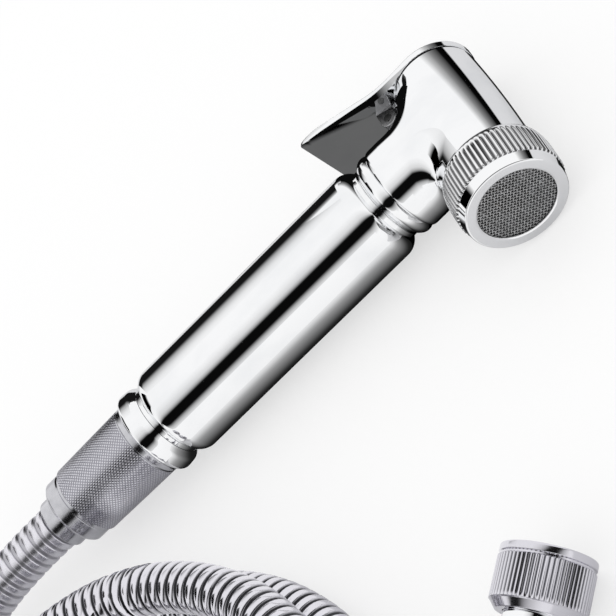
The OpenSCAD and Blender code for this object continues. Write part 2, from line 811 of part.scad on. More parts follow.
// Flanged nipple: its flange starts at `at`, its tail ends at `to`
module pipe_nipple(at, to) {
    difference() {
        union() {
            hole(thread_r - 0.2 - relief_gap, at, at + flange_t);
            hole(nipple_bore_d / 2 + 1.2, at, to);
        }
        hole(nipple_bore_d / 2, at - 1, to + 1);
    }
}

module hose_washer() color("dimgray") along_handle() {
    pipe_washer(washer_at);
}

module hose_nipple() color("goldenrod") along_handle() {
    pipe_nipple(flange_at, hose_exit - 1);
}

module hose_ferrule() color("silver") along_handle() {
    difference() {
        union() {
            hole(ferrule_r, flange_end + 2 * run_gap, hose_exit - 1);
            translate([0, 0, hose_exit - 1]) cylinder(r1 = ferrule_r, r2 = ferrule_r - 0.4, h = 1);
        }
        hole(nipple_bore_d / 2 + 1.2 + seat_gap, flange_end, hose_exit + 1);
    }
}

module hose_run() color("silver") stand() {
    ribbed_sweep(run_points);
}

module hose_coil() color("silver") stand() {
    bored_sweep(coil_points, hose_r, hose_bore_d / 2, loop_sides);
}

module hose_tail() color("silver") stand() {
    ribbed_sweep(tail_points);
}

// Places of the turns that the strap holds, outward and up from the coil's middle
tie_turns = [for (k = [0:floor(coil_turns)]) let(f = (tie_angle - coil_start) / 360 + k)
    if (f <= coil_turns) [turn_r(f), turn_z(f)]];

module tie_outline(r) {
    hull() for (p = tie_turns) translate(p) circle(r = r, $fn = 32);
}

module coil_tie() color("dimgray") stand() {
    translate(coil_middle) rotate(tie_angle) rotate([90, 0, 0]) linear_extrude(tie_w, center = true)
        difference() {
            tie_outline(hose_r + tie_gap + tie_t);
            tie_outline(hose_r + tie_gap);
        }
}

end_flange_at = end_ferrule_show + end_nut_len - end_thread_len - hose_washer_t - flange_t - run_gap;
end_washer_at = end_flange_at + flange_t + run_gap;
end_mouth = end_ferrule_show + end_nut_len;

module end_ferrule() color("silver") along_end() {
    difference() {
        union() {
            cylinder(r1 = ferrule_r - 0.4, r2 = ferrule_r, h = 1);
            hole(ferrule_r, 1, end_flange_at - 2 * run_gap);
        }
        hole(nipple_bore_d / 2 + 1.2 + seat_gap, -1, end_mouth);
    }
}

module end_nipple() color("goldenrod") along_end() {
    translate([0, 0, end_flange_at + flange_t]) mirror([0, 0, 1])
        pipe_nipple(0, end_flange_at + flange_t - 1);
}

module end_washer() color("dimgray") along_end() {
    pipe_washer(end_washer_at);
}

module end_nut() color("silver") along_end() {
    from = end_ferrule_show + face_gap;
    foot = 2;
    rim = 1.6;
    difference() {
        union() {
            translate([0, 0, from]) cylinder(d1 = end_nut_d - 3.4, d2 = end_nut_d - 0.6, h = foot);
            translate([0, 0, from + foot]) linear_extrude(end_mouth - from - foot - rim)
                fluted_outline(end_nut_d / 2, end_flute_count, 0.35);
            hole(end_nut_d / 2 - 0.3, end_mouth - rim, end_mouth);
        }
        hole(nut_bore_r, end_mouth - end_thread_len, end_mouth + 1);
        hole(thread_r - 0.2, end_flange_at - run_gap, end_mouth);
        hole(ferrule_hole_r, 0, end_mouth);
    }
}

head_body();
neck_collar();
grip_sleeve();
inlet_collar();
water_tube();
upper_o_ring();
lower_o_ring();
retaining_ring();
spray_mesh();
mesh_support();
face_gasket();
lever();
hinge_pin();
stem_pin();
valve_stem();
valve_disc();
valve_washer();
washer_screw();
valve_seat();
valve_spring();
gland_nut();
stem_o_ring();
hose_nut();
hose_washer();
hose_nipple();
hose_ferrule();
hose_run();
hose_coil();
coil_tie();
hose_tail();
end_ferrule();
end_nipple();
end_washer();
end_nut();
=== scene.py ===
"""Looks of a handheld bath sprayer lying beside its coiled hose.

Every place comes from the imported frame. Sizes are in millimetres, measured from the point
where the handle's axis crosses the barrel's axis, until a piece is put in its place.
"""

import json
import logging
import math
from collections.abc import Callable, Sequence
from dataclasses import dataclass, field
from enum import Enum

import bmesh
import bpy
import numpy as np
from bmesh.types import BMEdge, BMesh, BMVert
from bpy.types import Material, Mesh, Node, NodeSocket, Object
from mathutils import Matrix, Vector

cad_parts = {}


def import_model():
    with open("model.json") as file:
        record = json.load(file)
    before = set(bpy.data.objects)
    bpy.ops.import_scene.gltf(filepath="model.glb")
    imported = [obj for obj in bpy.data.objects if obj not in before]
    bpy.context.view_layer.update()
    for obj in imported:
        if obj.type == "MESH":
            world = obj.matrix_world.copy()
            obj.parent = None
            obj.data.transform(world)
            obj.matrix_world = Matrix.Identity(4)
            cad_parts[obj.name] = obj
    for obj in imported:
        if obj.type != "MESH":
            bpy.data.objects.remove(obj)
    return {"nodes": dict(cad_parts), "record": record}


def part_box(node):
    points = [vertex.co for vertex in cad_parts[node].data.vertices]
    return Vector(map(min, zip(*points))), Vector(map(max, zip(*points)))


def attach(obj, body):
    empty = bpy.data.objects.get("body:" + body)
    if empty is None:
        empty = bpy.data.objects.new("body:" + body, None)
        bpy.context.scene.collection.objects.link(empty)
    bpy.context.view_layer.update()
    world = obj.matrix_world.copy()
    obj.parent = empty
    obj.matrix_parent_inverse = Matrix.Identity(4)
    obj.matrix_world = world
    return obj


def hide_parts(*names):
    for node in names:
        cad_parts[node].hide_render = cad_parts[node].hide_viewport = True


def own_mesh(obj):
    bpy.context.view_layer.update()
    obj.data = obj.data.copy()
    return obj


LOG = logging.getLogger("bath_sprayer")

MM = 0.001
WELD = 0.0005
# Mesh attribute: 1 on crests, 0 in hollows; the relief finishes paint the hollows darker, as painted shade.
RELIEF = "relief"

Pair = tuple[float, float]
Corner = tuple[float, float, float]
Color = tuple[float, float, float]
Point = tuple[float, float, float]


class Body(Enum):
    """The bodies that pieces ride on."""

    HANDSET = "handset"
    LEVER = "lever"
    RING = "ring"
    HOSE_NUT = "hose_nut"
    END_NUT = "end_nut"


class Slot(Enum):
    """Names of the record's material slots, passed along with new pieces."""

    CHROME = "chrome"
    SATIN = "satin_metal"
    MESH = "mesh_metal"
    STEEL = "plain_steel"
    WINDING = "hose_winding"
    STRAP = "strap_plastic"


# ---- places ----


@dataclass(frozen=True)
class Datum:
    """The crossing of the two axes and the end fitting's mouth, taken from the frame.

    Attributes:
        crossing: Where the handle's axis crosses the barrel's axis, in metres.
        mouth: Middle of the end nut's open face, in metres.
        end_axis: Direction out of the end nut's mouth.
    """

    crossing: Vector
    mouth: Vector
    end_axis: Vector

    @classmethod
    def from_frame(cls, record: dict) -> "Datum":
        """Read the datum from the nodes' boxes and the record's thread mount.

        Args:
            record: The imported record.

        Returns:
            The datum.
        """
        grip_low, grip_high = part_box("grip_sleeve")
        ring_low, ring_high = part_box("retaining_ring")
        grip = (grip_low + grip_high) / 2
        crossing = Vector(((ring_low.x + ring_high.x) / 2, grip.y, grip.z))
        mount = next(m for m in record["mounts"] if m["name"] == "end_thread")
        axis = Vector(mount["axis"]).normalized()
        mouth = Vector(mount["pos_m"]) + axis * mount["dims"]["length_mm"] / 2 * MM
        return cls(crossing, mouth, axis)

    def point(self, x: float, y: float, z: float) -> Vector:
        """A point given in millimetres from the crossing, in metres."""
        return self.crossing + Vector((x, y, z)) * MM

    def millimetres(self, place: Vector) -> Vector:
        """A place in metres, as millimetres from the crossing."""
        return (place - self.crossing) / MM

    def handle(self) -> Matrix:
        """Placing whose Z runs down the handle, away from the head."""
        turn = Matrix.Rotation(-math.pi / 2, 4, "Y")
        return Matrix.Translation(self.crossing) @ turn @ Matrix.Scale(MM, 4)

    def barrel(self) -> Matrix:
        """Placing whose Z runs towards the spray face, with X up the handle."""
        turn = Matrix.Rotation(math.pi / 2, 4, "X")
        return Matrix.Translation(self.crossing) @ turn @ Matrix.Scale(MM, 4)

    def end(self) -> Matrix:
        """Placing whose Z runs out of the end nut, with its zero at the mouth."""
        turn = self.end_axis.to_track_quat("Z", "Y").to_matrix().to_4x4()
        return Matrix.Translation(self.mouth) @ turn @ Matrix.Scale(MM, 4)


# ---- making meshes ----


def rounded(corners: Sequence[Corner], closed: bool = True) -> list[Pair]:
    """Round the corners of an outline.

    Args:
        corners: Corners as (along, out, fillet radius).
        closed: Whether the last corner joins the first.

    Returns:
        The outline's points, as (along, out).
    """
    points: list[Pair] = []
    count = len(corners)
    for k, (along, out, fillet) in enumerate(corners):
        here = Vector((along, out))
        inner = closed or 0 < k < count - 1
        if fillet <= 0 or not inner:
            points.append((along, out))
            continue
        before = (Vector(corners[k - 1][:2]) - here).normalized()
        after = (Vector(corners[(k + 1) % count][:2]) - here).normalized()
        half = before.angle(after) / 2
        reach = fillet / math.tan(half)
        centre = here + (before + after).normalized() * fillet / math.sin(half)
        start = here + before * reach - centre
        turn = start.angle_signed(here + after * reach - centre)
        steps = max(2, math.ceil(abs(turn) / math.radians(11)))
        for j in range(steps + 1):
            spoke = start.copy()
            spoke.rotate(Matrix.Rotation(-turn * j / steps, 2))
            points.append((centre.x + spoke.x, centre.y + spoke.y))
    return points


def spin(bm: BMesh, geom: list, angle: float, steps: int, rise: float = 0.0, whole: bool = False) -> None:
    """Spin some geometry round Z.

    Args:
        bm: The mesh.
        geom: The vertices, edges and faces to spin.
        angle: Angle of the spin, in radians.
        steps: Number of its steps.
        rise: Rise along Z from step to step.
        whole: Whether the last step joins the first.
    """
    bmesh.ops.spin(
        bm,
        geom=geom,
        cent=(0, 0, 0),
        axis=(0, 0, 1),
        dvec=(0, 0, rise),
        angle=angle,
        steps=steps,
        use_merge=whole,
        use_duplicate=False,
    )


def bisect(bm: BMesh, point: Point, normal: Point, clear: bool = False) -> None:
    """Cut a mesh along a plane.

    Args:
        bm: The mesh.
        point: A point on the plane.
        normal: The plane's normal.
        clear: Whether what lies past the plane goes.
    """
    geom = [*bm.verts, *bm.edges, *bm.faces]
    bmesh.ops.bisect_plane(bm, geom=geom, dist=WELD, plane_co=point, plane_no=normal, clear_outer=clear)


def turn(bm: BMesh, degrees: float, axis: str) -> None:
    """Turn a mesh about an axis through its origin."""
    bmesh.ops.transform(bm, matrix=Matrix.Rotation(math.radians(degrees), 4, axis), verts=bm.verts)


def spun(points: Sequence[Pair], steps: int, closed: bool = True) -> BMesh:
    """Spin an outline round Z.

    Args:
        points: The outline as (along Z, radius).
        steps: Number of steps in the full turn.
        closed: Whether the outline's last point joins its first.

    Returns:
        The spun mesh.
    """
    bm = bmesh.new()
    verts = [bm.verts.new((radius, 0, along)) for along, radius in points]
    pairs = list(zip(verts, verts[1:]))
    if closed:
        pairs.append((verts[-1], verts[0]))
    edges = [bm.edges.new(pair) for pair in pairs]
    spin(bm, verts + edges, math.tau, steps, whole=True)
    bmesh.ops.remove_doubles(bm, verts=bm.verts, dist=WELD)
    bmesh.ops.recalc_face_normals(bm, faces=bm.faces)
    return bm


def prism(outline: Sequence[Pair], low: float, high: float, rim: float) -> BMesh:
    """Extrude an outline along Z and round its two rims.

    Args:
        outline: Points of the outline in XY.
        low: Lowest Z.
        high: Highest Z.
        rim: Radius of the rims.

    Returns:
        The closed solid.
    """
    bm = bmesh.new()
    face = bm.faces.new([bm.verts.new((x, y, low)) for x, y in outline])
    lifted = bmesh.ops.extrude_face_region(bm, geom=[face])
    top = [item for item in lifted["geom"] if isinstance(item, BMVert)]
    bmesh.ops.translate(bm, verts=top, vec=(0, 0, high - low))
    bmesh.ops.recalc_face_normals(bm, faces=bm.faces)
    if rim > 0:
        flat = [e for e in bm.edges if abs(e.verts[0].co.z - e.verts[1].co.z) < WELD]
        bevel(bm, flat, rim)
    return bm


def bevel(bm: BMesh, edges: list[BMEdge], width: float, segments: int = 4) -> None:
    """Round some edges of a mesh.

    Args:
        bm: The mesh.
        edges: The edges to round.
        width: Width of the rounding.
        segments: Number of its segments.
    """
    bmesh.ops.bevel(
        bm,
        geom=edges,
        offset=width,
        offset_type="OFFSET",
        segments=segments,
        profile=0.5,
        affect="EDGES",
        material=-1,
        clamp_overlap=True,
    )


def merged(parts: Sequence[BMesh]) -> BMesh:
    """Put several meshes into one.

    Args:
        parts: The meshes, which are freed.

    Returns:
        One mesh that holds them all.
    """
    whole = bmesh.new()
    for part in parts:
        mesh = bpy.data.meshes.new("part")
        part.to_mesh(mesh)
        part.free()
        whole.from_mesh(mesh)
        bpy.data.meshes.remove(mesh)
    return whole


def vertex_places(mesh: Mesh) -> np.ndarray:
    """The places of a mesh's vertices, one in a row.

    Args:
        mesh: The mesh.

    Returns:
        The places.
    """
    flat = np.empty(len(mesh.vertices) * 3, np.float32)
    mesh.vertices.foreach_get("co", flat)
    return flat.reshape(-1, 3).astype(float)


def link(name: str, data: bpy.types.ID) -> Object:
    """Make an object of some data and link it to the scene.

    Args:
        name: The object's name.
        data: Its mesh, curve or camera.

    Returns:
        The object.
    """
    obj = bpy.data.objects.new(name, data)
    bpy.context.scene.collection.objects.link(obj)
    return obj


def settle(bm: BMesh, name: str, place: Matrix, sharp: float = 32.0, even: bool = True) -> Object:
    """Move a mesh to its place and make it an object.

    Args:
        bm: The mesh, in millimetres, which is freed.
        name: The object's name.
        place: Placing from the mesh's own axes to the frame.
        sharp: Angle in degrees past which an edge stays sharp.
        even: Whether large faces rule the shading at rounded corners.

    Returns:
        The object, which sits at the origin.
    """
    bmesh.ops.transform(bm, matrix=place, verts=bm.verts)
    mesh = bpy.data.meshes.new(name)
    bm.to_mesh(mesh)
    bm.free()
    mesh.shade_smooth()
    mesh.set_sharp_from_angle(angle=math.radians(sharp))
    obj = link(name, mesh)
    if even:
        modifier = obj.modifiers.new("Even shading", "WEIGHTED_NORMAL")
        modifier.keep_sharp = True
        modifier.weight = 80
    return obj


def flute(bm: BMesh, low: float, high: float, inner: float, depth: float, count: int) -> None:
    """Cut straight flutes into the outside of a spun mesh and mark their hollows, which the finishes paint
    darker as shade.

    Args:
        bm: The spun mesh, round Z.
        low: Where the flutes start to sink in.
        high: Where the flutes end.
        inner: Radius below which nothing is cut.
        depth: Depth of the flutes.
        count: Number of flutes.
    """
    layer = bm.verts.layers.float.new(RELIEF)
    run_in = 1.2
    roundness = 1.3
    for vert in bm.verts:
        vert[layer] = 1.0
        reach = math.hypot(vert.co.x, vert.co.y)
        if low < vert.co.z < high and reach > inner:
            angle = math.atan2(vert.co.y, vert.co.x)
            sunk = 1 - abs(math.cos(count / 2 * angle)) ** roundness
            sunk *= min(1.0, (vert.co.z - low) / run_in)
            scale = 1 - sunk * depth / reach
            vert.co.x *= scale
            vert.co.y *= scale
            vert[layer] = 1 - sunk


# ---- finishes ----


class Graph:
    """A material's node tree, filled node by node."""

    def __init__(self, name: str) -> None:
        """Start an empty material.

        Args:
            name: The material's name.
        """
        self.material = bpy.data.materials.new(name)
        self.material.use_nodes = True
        self.tree = self.material.node_tree
        self.tree.nodes.clear()
        self.output = self.add("ShaderNodeOutputMaterial")
        self._coords: Node | None = None

    def add(self, kind: str, **settings: object) -> Node:
        """Add a node.

        Args:
            kind: The node's type.
            settings: Properties of the node.

        Returns:
            The node.
        """
        node = self.tree.nodes.new(kind)
        for key, value in settings.items():
            setattr(node, key, value)
        return node

    def join(self, source: NodeSocket, target: NodeSocket) -> None:
        """Link one socket to another."""
        self.tree.links.new(source, target)

    def coordinates(self) -> NodeSocket:
        """The piece's own Object coordinates, in metres.

        Returns:
            The coordinates, from a node that is made once.
        """
        if self._coords is None:
            self._coords = self.add("ShaderNodeTexCoord")
        return self._coords.outputs["Object"]

    def noise(self, scale: float, detail: float = 3.0, stretch: Point = (1, 1, 1)) -> NodeSocket:
        """A noise on the piece's own coordinates.

        Args:
            scale: Features in a metre.
            detail: Octaves.
            stretch: Scale along each axis.

        Returns:
            The noise's factor.
        """
        mapping = self.add("ShaderNodeMapping")
        mapping.inputs["Scale"].default_value = stretch
        self.join(self.coordinates(), mapping.inputs["Vector"])
        node = self.add("ShaderNodeTexNoise")
        node.inputs["Scale"].default_value = scale
        node.inputs["Detail"].default_value = detail
        self.join(mapping.outputs["Vector"], node.inputs["Vector"])
        return node.outputs["Fac"]

    def ranged(
        self, value: NodeSocket, low: float, high: float, to_low: float, to_high: float
    ) -> NodeSocket:
        """Map a value from one range to another.

        Args:
            value: The value.
            low: Lower end of its range.
            high: Upper end of its range.
            to_low: What the lower end becomes.
            to_high: What the upper end becomes.

        Returns:
            The mapped value.
        """
        node = self.add("ShaderNodeMapRange")
        self.join(value, node.inputs["Value"])
        for key, number in (("From Min", low), ("From Max", high), ("To Min", to_low), ("To Max", to_high)):
            node.inputs[key].default_value = number
        return node.outputs["Result"]

    def ramp(self, value: NodeSocket, stops: Sequence[Pair]) -> NodeSocket:
        """Turn a value into a grey.

        Args:
            value: The value, from 0 to 1.
            stops: Values with the grey that they become.

        Returns:
            The grey.
        """
        node = self.add("ShaderNodeValToRGB")
        self.join(value, node.inputs["Fac"])
        elements = node.color_ramp.elements
        while len(elements) < len(stops):
            elements.new(0.5)
        for element, (position, grey) in zip(elements, stops):
            element.position = position
            element.color = (grey, grey, grey, 1)
        return node.outputs["Color"]

    def blend(self, factor: NodeSocket, first: Color, second: Color) -> NodeSocket:
        """Mix two colours by a factor.

        Args:
            factor: The share of the second colour.
            first: The first colour.
            second: The second colour.

        Returns:
            The mixed colour.
        """
        node = self.add("ShaderNodeMix", data_type="RGBA")
        self.join(factor, node.inputs["Factor"])
        node.inputs["A"].default_value = (*first, 1)
        node.inputs["B"].default_value = (*second, 1)
        return node.outputs["Result"]

    def relief(self, height: NodeSocket, depth: float, strength: float = 1.0) -> NodeSocket:
        """A bump from a height.

        Args:
            height: The height, from 0 to 1.
            depth: What 1 stands for, in metres.
            strength: Strength of the bump.

        Returns:
            The bumped normal.
        """
        node = self.add("ShaderNodeBump")
        node.inputs["Strength"].default_value = strength
        node.inputs["Distance"].default_value = depth
        self.join(height, node.inputs["Height"])
        return node.outputs["Normal"]

    def surface(self, metallic: float, **sockets: object) -> Material:
        """Close the tree with one surface shader.

        Args:
            metallic: 1 for metal and 0 for anything else.
            sockets: Numbers, colours or sockets, by the shader's input, with _ for a blank.

        Returns:
            The material.
        """
        shader = self.add("ShaderNodeBsdfPrincipled")
        shader.inputs["Metallic"].default_value = metallic
        for key, value in sockets.items():
            target = shader.inputs[key.replace("_", " ")]
            if isinstance(value, NodeSocket):
                self.join(value, target)
            elif isinstance(value, tuple):
                target.default_value = (*value, 1)
            else:
                target.default_value = value
        self.join(shader.outputs["BSDF"], self.output.inputs["Surface"])
        return self.material


@dataclass(frozen=True)
class MirrorPlate:
    """Polished chromium plating with faint wiping marks.

    Attributes:
        name: The material's name.
        clean: Colour where it is clean.
        wiped: Colour of the faint haze.
        smooth: Least roughness.
        hazy: Roughness in the haze.
    """

    name: str = "mirror_chrome"
    clean: Color = (0.93, 0.935, 0.945)
    wiped: Color = (0.86, 0.87, 0.885)
    smooth: float = 0.025
    hazy: float = 0.06

    def make(self) -> Material:
        """Make the material.

        Returns:
            The material.
        """
        graph = Graph(self.name)
        haze = graph.ranged(graph.noise(55, 4, (1, 1.6, 1.6)), 0.45, 0.75, 0, 1)
        marks = graph.ranged(graph.noise(900, 2, (0.06, 1, 1)), 0.3, 0.8, self.smooth, self.hazy)
        return graph.surface(1.0, Base_Color=graph.blend(haze, self.clean, self.wiped), Roughness=marks)


@dataclass(frozen=True)
class Mottled:
    """A surface with soft patches of a second colour and a fine grain.

    Attributes:
        name: The material's name.
        color: Its colour.
        patch: Colour of the patches.
        roughness: Least and greatest roughness.
        patch_noise: Scale, detail and first value of the patches' noise.
        grain_noise: Scale, detail and stretch of the grain's noise.
        bump: Depth of the grain, in metres, and its strength.
        metallic: 1 for metal and 0 for anything else.
    """

    name: str
    color: Color
    patch: Color
    roughness: Pair = (0.25, 0.45)
    patch_noise: tuple[float, float, float] = (350, 5, 0.4)
    grain_noise: tuple[float, float, Point] = (1500, 2, (1, 6, 1))
    bump: Pair = (0.00001, 0.5)
    metallic: float = 1.0

    def make(self) -> Material:
        """Make the material.

        Returns:
            The material.
        """
        graph = Graph(self.name)
        scale, detail, first = self.patch_noise
        share = graph.ranged(graph.noise(scale, detail), first, 0.7, 0, 1)
        grain = graph.noise(*self.grain_noise)
        return graph.surface(
            self.metallic,
            Base_Color=graph.blend(share, self.color, self.patch),
            Roughness=graph.ranged(grain, 0.3, 0.7, *self.roughness),
            Normal=graph.relief(grain, *self.bump),
        )


@dataclass(frozen=True)
class TurnedMetal(Mottled):
    """Machined metal with fine turning marks and spots of tarnish."""


@dataclass(frozen=True)
class SatinPlate(Mottled):
    """Satin plating with brighter, worn patches."""

    patch_noise: tuple[float, float, float] = (240, 4, 0.3)
    grain_noise: tuple[float, float, Point] = (2600, 3, (1, 1, 1))
    bump: Pair = (0.00002, 0.6)


@dataclass(frozen=True)
class Moulded(Mottled):
    """Moulded rubber or plastic with a fine grain and rubbed patches."""

    patch_noise: tuple[float, float, float] = (180, 4, 0.35)
    grain_noise: tuple[float, float, Point] = (3200, 2, (1, 1, 1))
    bump: Pair = (0.00003, 0.5)
    metallic: float = 0.0


@dataclass(frozen=True)
class ReliefMetal:
    """Metal with a fine relief whose hollows are painted darker, as painted shade.

    Attributes:
        name: The material's name.
        crest: Colour on the crests, where the mesh attribute is 1.
        hollow_shade: Painted shade in the hollows, where it is 0.
        span: Values of the attribute between which the colour changes.
        roughness: Roughness on the crests and in the hollows.
        grain: Depth of the grain, in metres.
    """

    name: str
    crest: Color
    hollow_shade: Color
    span: Pair = (0.1, 0.8)
    roughness: Pair = (0.16, 0.5)
    grain: float = 0.00002

    def make(self) -> Material:
        """Make the material.

        Returns:
            The material.
        """
        graph = Graph(self.name)
        relief = graph.add("ShaderNodeAttribute", attribute_name=RELIEF)
        height = graph.ranged(relief.outputs["Fac"], *self.span, 0, 1)
        streaks = graph.noise(700, 3)
        return graph.surface(
            1.0,
            # Painted shade: the colour darkens from crest to hollow along the relief mark.
            Base_Color=graph.blend(height, self.hollow_shade, self.crest),
            Roughness=graph.ranged(height, 0, 1, self.roughness[1], self.roughness[0]),
            Normal=graph.relief(streaks, self.grain, 0.4),
        )


@dataclass(frozen=True)
class Webbing:
    """Woven nylon webbing.

    Attributes:
        name: The material's name.
        thread: Colour of the threads.
        gap: Colour between the threads.
        pitch: Distance from thread to thread, in metres.
    """

    name: str = "nylon_webbing"
    thread: Color = (0.035, 0.035, 0.037)
    gap: Color = (0.008, 0.008, 0.008)
    pitch: float = 0.0007

    def make(self) -> Material:
        """Make the material.

        Returns:
            The material.
        """
        graph = Graph(self.name)
        threads = []
        for direction in ("X", "Z"):
            wave = graph.add("ShaderNodeTexWave", wave_type="BANDS", bands_direction=direction)
            wave.inputs["Scale"].default_value = 0.314 / self.pitch
            graph.join(graph.coordinates(), wave.inputs["Vector"])
            threads.append(wave.outputs["Fac"])
        weave = graph.add("ShaderNodeMath", operation="MULTIPLY")
        graph.join(threads[0], weave.inputs[0])
        graph.join(threads[1], weave.inputs[1])
        height = weave.outputs["Value"]
        return graph.surface(
            0.0,
            Base_Color=graph.blend(height, self.gap, self.thread),
            Roughness=0.75,
            Normal=graph.relief(height, 0.0002),
        )


class Wardrobe:
    """All finishes, each made once."""

    def __init__(self) -> None:
        """Make every finish."""
        self.chrome = MirrorPlate().make()
        # Knurl: the pressed points are painted darker, as painted shade.
        self.knurl = ReliefMetal(
            "knurled_satin", (0.82, 0.81, 0.86), (0.3, 0.3, 0.34), (0.0, 1.0), (0.2, 0.26)
        ).make()
        self.satin = SatinPlate("satin_collar", (0.52, 0.52, 0.55), (0.66, 0.66, 0.69), (0.1, 0.2)).make()
        # End nut flutes: their hollows are painted darker, as painted shade.
        self.nut = ReliefMetal(
            "fluted_satin", (0.72, 0.71, 0.76), (0.22, 0.22, 0.24), (0.15, 0.75), (0.14, 0.3)
        ).make()
        # Ears and lugs of the lever: dark grey satin, painted shade that stands in for the dark reflection
        # in the corner between lever and head.
        self.lug = SatinPlate("lug_painted_shade", (0.4, 0.4, 0.41), (0.47, 0.47, 0.48), (0.35, 0.45)).make()
        self.pin = TurnedMetal("ground_pin", (0.25, 0.25, 0.25), (0.16, 0.16, 0.16)).make()
        # Ring flutes: chrome on the crests, hollows painted near black as shade.
        self.fluted = ReliefMetal(
            "fluted_chrome", (0.93, 0.935, 0.945), (0.14, 0.14, 0.145), (0.3, 0.9), (0.04, 0.2), 0.0
        ).make()
        # Hose: its grooves are painted near black, as painted shade.
        self.winding = ReliefMetal("wound_strip", (0.76, 0.75, 0.8), (0.06, 0.06, 0.065)).make()
        # First stretch of the hose: rougher, its grooves painted a lighter grey as painted light.
        self.open_winding = ReliefMetal(
            "wound_strip_satin", (0.8, 0.79, 0.84), (0.14, 0.14, 0.15), (0.1, 0.8), (0.27, 0.45)
        ).make()
        self.wire = TurnedMetal("woven_wire", (0.5, 0.5, 0.505), (0.36, 0.36, 0.36), (0.25, 0.4)).make()
        self.steel = TurnedMetal("plain_steel", (0.6, 0.6, 0.61), (0.45, 0.44, 0.43)).make()
        self.dark_steel = TurnedMetal(
            "wet_steel", (0.07, 0.07, 0.07), (0.04, 0.04, 0.04), (0.5, 0.6)
        ).make()
        self.brass = TurnedMetal("machined_brass", (0.78, 0.6, 0.3), (0.5, 0.36, 0.16)).make()
        self.rubber = Moulded("seal_rubber", (0.02, 0.02, 0.02), (0.045, 0.045, 0.043), (0.7, 0.7)).make()
        self.tube = Moulded("tube_plastic", (0.78, 0.77, 0.73), (0.7, 0.69, 0.64), (0.4, 0.4)).make()
        self.strap = Webbing().make()


def dress(obj: Object, finish: Material, body: Body, slot: Slot, *nodes: str) -> None:
    """Give a new piece its finish, its body and the nodes that it stands for.

    Args:
        obj: The piece.
        finish: Its material.
        body: The body that it rides on.
        slot: The record's slot of its finish; not used.
        nodes: The nodes that it replaces.
    """
    obj.data.materials.append(finish)
    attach(obj, body.value)
    if nodes:
        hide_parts(*nodes)
    LOG.info("%s rides on %s and replaces %s", obj.name, body.value, ", ".join(nodes) or "nothing")


@dataclass
class Maker:
    """Something that builds pieces at their places and dresses them.

    Attributes:
        datum: Places in the frame.
        wardrobe: The finishes.
    """

    datum: Datum
    wardrobe: Wardrobe


# ---- studio ----


